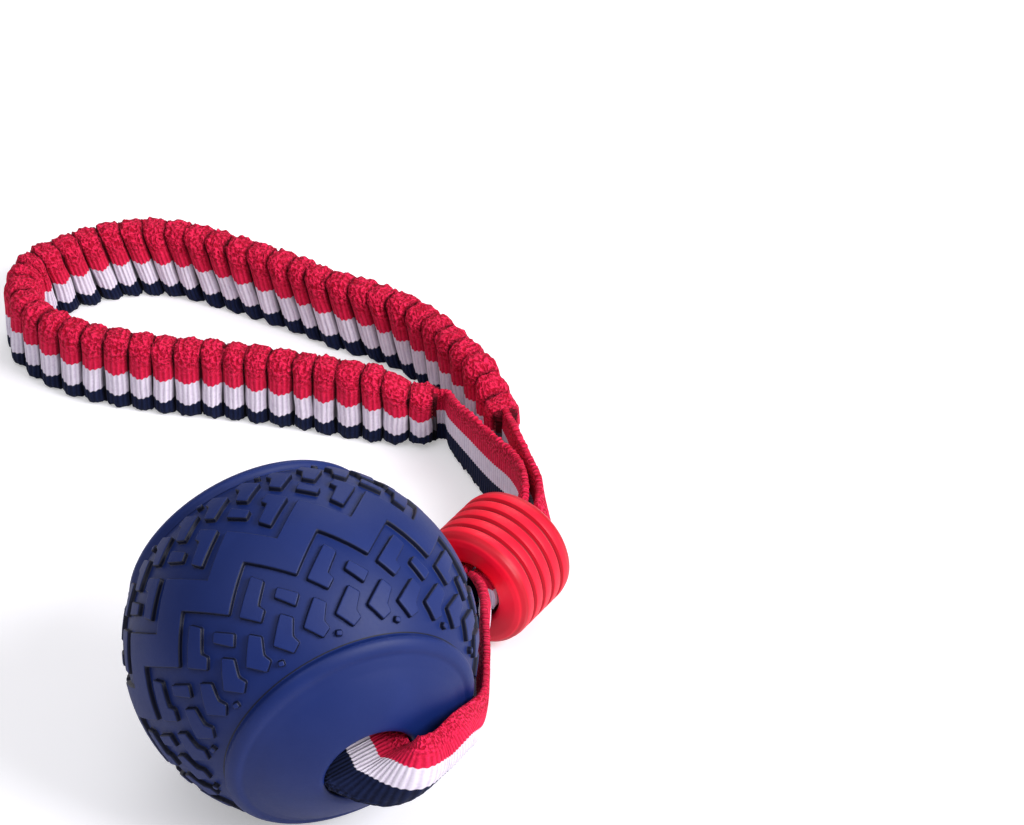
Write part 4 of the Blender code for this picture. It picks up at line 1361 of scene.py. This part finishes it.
@dataclass
class FlatStraps:
    """Both flat runs of the webbing, through the bead and round to the ball's two mouths."""

    ball: TreadedBall
    bead: GroovedBead
    handle: GatheredHandle
    lap: float = 26.0 * MM
    mouth_depth: float = 4.5 * MM
    across_ball: Vector = Vector((0.88, 0.352, 0.322))
    start_overlap: float = 1.1 * MM
    leg_grip_share: float = 0.9
    leg_blend: float = 52.0 * MM
    strand_grip: float = 2.2 * MM
    strand_blend: float = 34.5 * MM

    # Shares of the bead's half length along and of the fold's offset beside, then the fold
    BEAD_RUN_SHARES = ((1.40, 2.0, 0.55), (0.98, 1.0, 1.0), (-0.98, 1.0, 1.0), (-1.22, 2.8, 0.60))
    # Shares of the loop's reach across, away and up
    LEFT_LEG_SHARES = (
        (-0.155, 0.492, 0.084), (-0.120, 0.416, 0.094), (-0.058, 0.296, 0.106), (-0.014, 0.214, 0.120),
        (0.006, 0.138, 0.132),
    )
    RIGHT_LEG_SHARES = (
        (-0.020, 0.400, 0.088), (-0.006, 0.320, 0.100), (0.022, 0.190, 0.123), (0.040, 0.096, 0.135),
    )
    # Shares of the ball's radius from its centre, then the lean of the webbing's top and the fold
    LEFT_STRAND_SHARES = (
        (0.794, 1.187, -0.590, 0.0, 0.25), (0.685, 1.250, -0.500, 0.0, 0.10),
        (0.545, 1.268, -0.360, 0.0, 0.0), (0.340, 1.213, -0.187, 0.0, 0.0),
    )
    RIGHT_STRAND_SHARES = (
        (0.990, 0.910, -0.575, 0.04, 0.22), (0.990, 0.587, -0.520, 0.14, 0.12),
        (0.980, 0.213, -0.456, 0.24, 0.08), (0.966, -0.080, -0.408, 0.30, 0.14),
        (0.924, -0.293, -0.332, 0.40, 0.40),
    )
    # Shares of the ball's radius along the bore, across it and up, the webbing's own across, and the fold
    NEAR_TURN_SHARES = (
        ((0.912, 0.480, -0.112), (0.09, 0.24, 0.97), 0.80),
        ((1.016, 0.320, -0.040), (-0.02, 0.42, 0.90), 0.72),
        ((1.092, 0.181, 0.023), (-0.23, 0.60, 0.77), 0.44),
        ((0.960, 0.000, 0.035), (0.0, 1.0, 0.0), 0.0),
    )
    FAR_TURN_SHARES = (
        ((-0.947, 0.480, -0.360), (0.0, 0.17, 0.99), 0.0),
        ((-1.120, 0.147, -0.067), (0.41, 0.64, 0.65), 0.25),
        ((-1.013, 0.008, -0.035), (0.0, 1.0, 0.0), 0.0),
    )

    def __post_init__(self) -> None:
        """Work out the bore's directions and both routes."""
        axis = self.ball.axis
        self.wide = (self.across_ball - axis * self.across_ball.dot(axis)).normalized()
        self.rise = axis.cross(self.wide)
        self.lap_offset = (WEB.thickness + WEB.seam) / 2.0
        cap = self.ball.radius - self.ball.cap_drop
        self.tail_start = math.sqrt(cap ** 2 - self.ball.bore ** 2) - self.mouth_depth
        self.left = Route([
            *self._start(False), *self._leg(self.LEFT_LEG_SHARES), *self._through_bead(-1.0),
            *self._strand(self.LEFT_STRAND_SHARES), *[self._turn(*turn) for turn in self.FAR_TURN_SHARES],
            self._in_bore(-(self.tail_start + WEB.thickness), -self.lap_offset),
            self._in_bore(-(self.tail_start + WEB.seam), -self.lap_offset),
        ])
        self.right = Route([
            *self._start(True), *self._leg(self.RIGHT_LEG_SHARES), *self._through_bead(1.0),
            *self._strand(self.RIGHT_STRAND_SHARES), *[self._turn(*turn) for turn in self.NEAR_TURN_SHARES],
            self._in_bore(self.tail_start + WEB.thickness, self.lap_offset),
            self._in_bore(self.tail_start + WEB.seam, self.lap_offset),
        ])

    def _start(self, at_end: bool) -> list[Station]:
        """Lay the first stretch, straight out of the gathers.

        Args:
            at_end: whether it starts at the loop's far end.

        Returns:
            Its stations.
        """
        at = self.handle.spot(self.handle.route.length if at_end else 0.0)
        away = at.forward if at_end else -at.forward
        return [
            Station(at.place + away * distance, UP, 0.0, self.handle.end_height)
            for distance in (-self.start_overlap, WEB.thickness)
        ]

    def _leg(self, shares: Sequence[tuple[float, float, float]]) -> list[Station]:
        """Lay the stretch between the loop and the bead.

        Args:
            shares: its places in shares of the loop's reach.

        Returns:
            Its stations.
        """
        stations = []
        for across, away, up in shares:
            height = up * self.handle.reach
            mouth = self.handle.mouth
            place = Vector((mouth.x + across * self.handle.reach, mouth.y + away * self.handle.reach, height))
            width = min(WEB.width, 2.0 * (height - self.handle.end_rise))
            stations.append(Station(place, UP, 0.0, width))
        return stations

    def _through_bead(self, side: float) -> list[Station]:
        """Lay the stretch through the bead, folded lengthwise.

        Args:
            side: the side of the bead's middle that it keeps to, 1 or -1.

        Returns:
            Its stations.
        """
        return [
            Station(
                self.bead.centre + self.bead.axis * self.bead.half_length * along
                + self.bead.side * (side * WEB.fold_offset * beside), UP, fold)
            for along, beside, fold in self.BEAD_RUN_SHARES
        ]

    def _strand(self, shares: Sequence[tuple[float, float, float, float, float]]) -> list[Station]:
        """Lay the stretch beside the ball.

        Args:
            shares: its places in shares of the ball's radius, how far its top leans out, and its fold.

        Returns:
            Its stations.
        """
        return [
            Station(self.ball.centre + Vector(place) * self.ball.radius, Vector((lean, 0.0, 1.0)), fold)
            for *place, lean, fold in shares
        ]

    def _turn(self, shares: Sequence[float], across: Sequence[float], fold: float) -> Station:
        """Lay one place of the turn into the bore.

        Args:
            shares: its place along the bore, across it and up, in shares of the ball's radius.
            across: the webbing's own direction across, given in the same way.
            fold: how far it is folded.

        Returns:
            The station.
        """
        ways = (self.ball.axis, self.wide, self.rise)
        place = sum((way * share for way, share in zip(ways, shares)), Vector()) * self.ball.radius
        level = sum((way * share for way, share in zip(ways, across)), Vector())
        return Station(self.ball.centre + place, level.normalized(), fold)

    def _in_bore(self, along: float, up: float) -> Station:
        """A place in the bore."""
        return Station(self.ball.centre + self.ball.axis * along + self.rise * up, self.wide)

    def place(self, webbing: bpy.types.Material) -> None:
        """Build the four halves of the straps and the two tails.

        Args:
            webbing: their finish.
        """
        grips = {
            "leg": (self.bead.half_length * self.leg_grip_share, self.leg_blend),
            "strand": (self.strand_grip - self.bead.half_length, -self.strand_blend),
        }
        for name, route, side in (("left", self.left, 1.0), ("right", self.right, -1.0)):
            strip = Strip(route, side)
            middle = route.nearest(self.bead.centre)
            for part, start, end in (("leg", 0.0, middle), ("strand", middle, route.length)):
                made = strip.build(f"{name}_{part}", start, end).done(webbing, Slot.WEBBING)
                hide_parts(f"{name}_strap")
                held, free = [self.bead.axis * distance for distance in grips[part]]
                self.bead.centre + free
                self.bead.centre + held
                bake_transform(made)
            turned = 1.0 if name == "right" else -1.0
            tail = Route([
                self._in_bore(turned * self.tail_start, turned * self.lap_offset),
                self._in_bore(-turned * self.lap / 2.0, turned * self.lap_offset),
            ])
            made = Strip(tail).build(f"{name}_lap", 0.0, tail.length).done(webbing, Slot.WEBBING)
            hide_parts(f"{name}_tail")
            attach(made, Body.STRAP.value)


@dataclass
class Stitching:
    """Rows of stitches that hold the webbing to the elastic, and its two ends to each other."""

    straps: FlatStraps
    handle: GatheredHandle
    length: float = 8.0 * MM
    width: float = 2.4 * MM
    height: float = 0.5 * MM
    inset: float = 4.0 * MM
    spacing: float = 0.5 * MM
    slant: float = 0.125
    seam_share: float = 0.2

    def row(self, name: str, at: Spot, half_stack: float, thread: bpy.types.Material) -> None:
        """One row: stitches side by side on both faces.

        Args:
            name: the piece's name.
            at: where it is.
            half_stack: half the thickness of what it holds.
            thread: its finish.
        """
        piece = Piece(name + "_stitches")
        count = round(self.length / self.spacing)
        for face in (1.0, -1.0):
            for index in range(count):
                along = (index + 0.5) / count - 0.5
                made = bmesh.ops.create_uvsphere(piece.mesh, u_segments=8, v_segments=6, radius=0.5)
                slant = self.slant if index % 2 else -self.slant
                size = Matrix.Diagonal((self.height, self.spacing, self.width, 1.0))
                turn = turned_to(at.out, at.across, (at.forward + at.across * slant).normalized())
                place = (at.place + at.across * (along * self.length)
                         + at.out * (face * (half_stack + WEB.seam * self.seam_share + self.height / 2.0)))
                bmesh.ops.transform(
                    piece.mesh, matrix=Matrix.Translation(place) @ turn @ size, verts=made["verts"])
        made = piece.done(thread, Slot.STITCHING)
        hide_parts(name + "_tack")
        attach(made, Body.STRAP.value)

    def place(self, thread: bpy.types.Material) -> None:
        """Build all four rows.

        Args:
            thread: their finish.
        """
        for name, distance in (
            ("near_handle", self.handle.plain_length / 2.0),
            ("far_handle", self.handle.route.length - self.handle.plain_length / 2.0),
        ):
            self.row(name, self.handle.spot(distance), self.handle.plain_thickness / 2.0, thread)
        stack = self.straps.lap_offset + WEB.thickness / 2.0
        for name, side in (("far_lap", -1.0), ("near_lap", 1.0)):
            ball = self.straps.ball
            place = ball.centre + ball.axis * side * (self.straps.lap / 2.0 - self.inset)
            at = Spot(place, ball.axis, self.straps.wide, self.straps.rise, 0.0, 1.0)
            self.row(name, at, stack, thread)


@dataclass
class Lamp:
    """A soft square lamp."""

    name: str
    place: tuple[float, float, float]
    size: float
    power: float


@dataclass
class Studio:
    """The camera, the lamps, the pale floor and the white background."""

    lens: float = 203.9
    tilt: float = math.radians(52.0)
    camera_place: Vector = TOY_PLACE + Vector((44.3, -928.6, 824.0)) * MM
    sky: float = 0.30
    floor_colour: Colour = (0.80, 0.79, 0.84)
    floor_glow: float = 0.34
    glow_ramp: Pair = (0.25, 1.3)
    floor_size: float = 4.0
    lamps: tuple[Lamp, ...] = (
        Lamp("key", (0.86, -0.46, 0.74), 0.60, 16.0),
        Lamp("top", (-0.25, -0.35, 1.15), 1.00, 5.0),
        Lamp("back", (0.30, 0.95, 0.75), 0.60, 3.6),
    )

    def place(self) -> None:
        """Set everything up."""
        self._camera()
        self._world()
        self._floor()
        for lamp in self.lamps:
            light = bpy.data.lights.new(lamp.name, "AREA")
            light.size = lamp.size
            light.energy = lamp.power
            made = add_object(lamp.name, light)
            made.location = lamp.place
            made.rotation_euler = (-Vector(lamp.place)).to_track_quat("-Z", "Y").to_euler()
        bpy.context.scene.view_settings.view_transform = "Standard"
        LOG.info("studio: %d lamps", len(self.lamps))

    def _camera(self) -> None:
        """The camera at the photograph's place."""
        lens = bpy.data.cameras.new("camera")
        lens.lens = self.lens
        lens.sensor_width = 36.0
        made = add_object("camera", lens)
        made.location = self.camera_place
        made.rotation_euler = (self.tilt, 0.0, 0.0)
        bpy.context.scene.camera = made

    def _world(self) -> None:
        """A soft sky that looks white to the camera."""
        recipe = Recipe(bpy.data.worlds.new("studio"), "Background")
        seen = recipe.node("ShaderNodeLightPath", output="Is Camera Ray")
        through = recipe.node("ShaderNodeLightPath", output="Is Transmission Ray")
        strength = seen.larger(through) * (1.0 - self.sky) + self.sky
        bpy.context.scene.world = recipe.finish(Color=WHITE, Strength=strength)

    def _floor(self) -> None:
        """The pale floor, lifted towards white for the camera alone."""
        sheet = bmesh.new()
        bmesh.ops.create_grid(sheet, x_segments=1, y_segments=1, size=self.floor_size)
        mesh = bpy.data.meshes.new("floor")
        sheet.to_mesh(mesh)
        sheet.free()
        recipe = Recipe(bpy.data.materials.new("floor"))
        seen = recipe.node("ShaderNodeLightPath", output="Is Camera Ray")
        away = recipe.node("ShaderNodeVectorMath", {"operation": "LENGTH"}, {0: recipe.place()}, "Value")
        glow = away.step(*self.glow_ramp) * (1.0 - self.floor_glow) + self.floor_glow
        mesh.materials.append(recipe.finish(
            Base_Color=self.floor_colour, Roughness=1.0, Specular_IOR_Level=0.0,
            Emission_Color=recipe.shade(WHITE, glow), Emission_Strength=seen))
        made = add_object("floor", mesh)


def main() -> None:
    """Build the toy and the studio."""
    logging.basicConfig(level=logging.INFO, format="%(message)s")
    studio = Studio()
    studio.place()
    webbing = WovenWebbing().make()
    thread = SpunThread().make()
    ball = TreadedBall()
    # The ball's colours: its rubber, its rubbed rubber, and the painted shade in its grooves
    ball.place(MouldedRubber(
        "ball_rubber", (0.0008, 0.0130, 0.112), (0.006, 0.022, 0.150), (0.0, 0.001, 0.010)).make())
    bead = GroovedBead()
    # The bead's grooves get painted shade through floor_shade and wall_shade
    bead.place(MouldedRubber(
        "bead_rubber", (0.86, 0.003, 0.028), (0.94, 0.020, 0.060), (0.22, 0.0, 0.006), 0.42,
        floor_shade=0.70, wall_shade=0.55, gloss=0.30).make())
    handle = GatheredHandle(bead)
    handle.place(webbing, RibbedElastic().make())
    straps = FlatStraps(ball, bead, handle)
    straps.place(webbing)
    Stitching(straps, handle).place(thread)


if __name__ == "__main__":
    main()
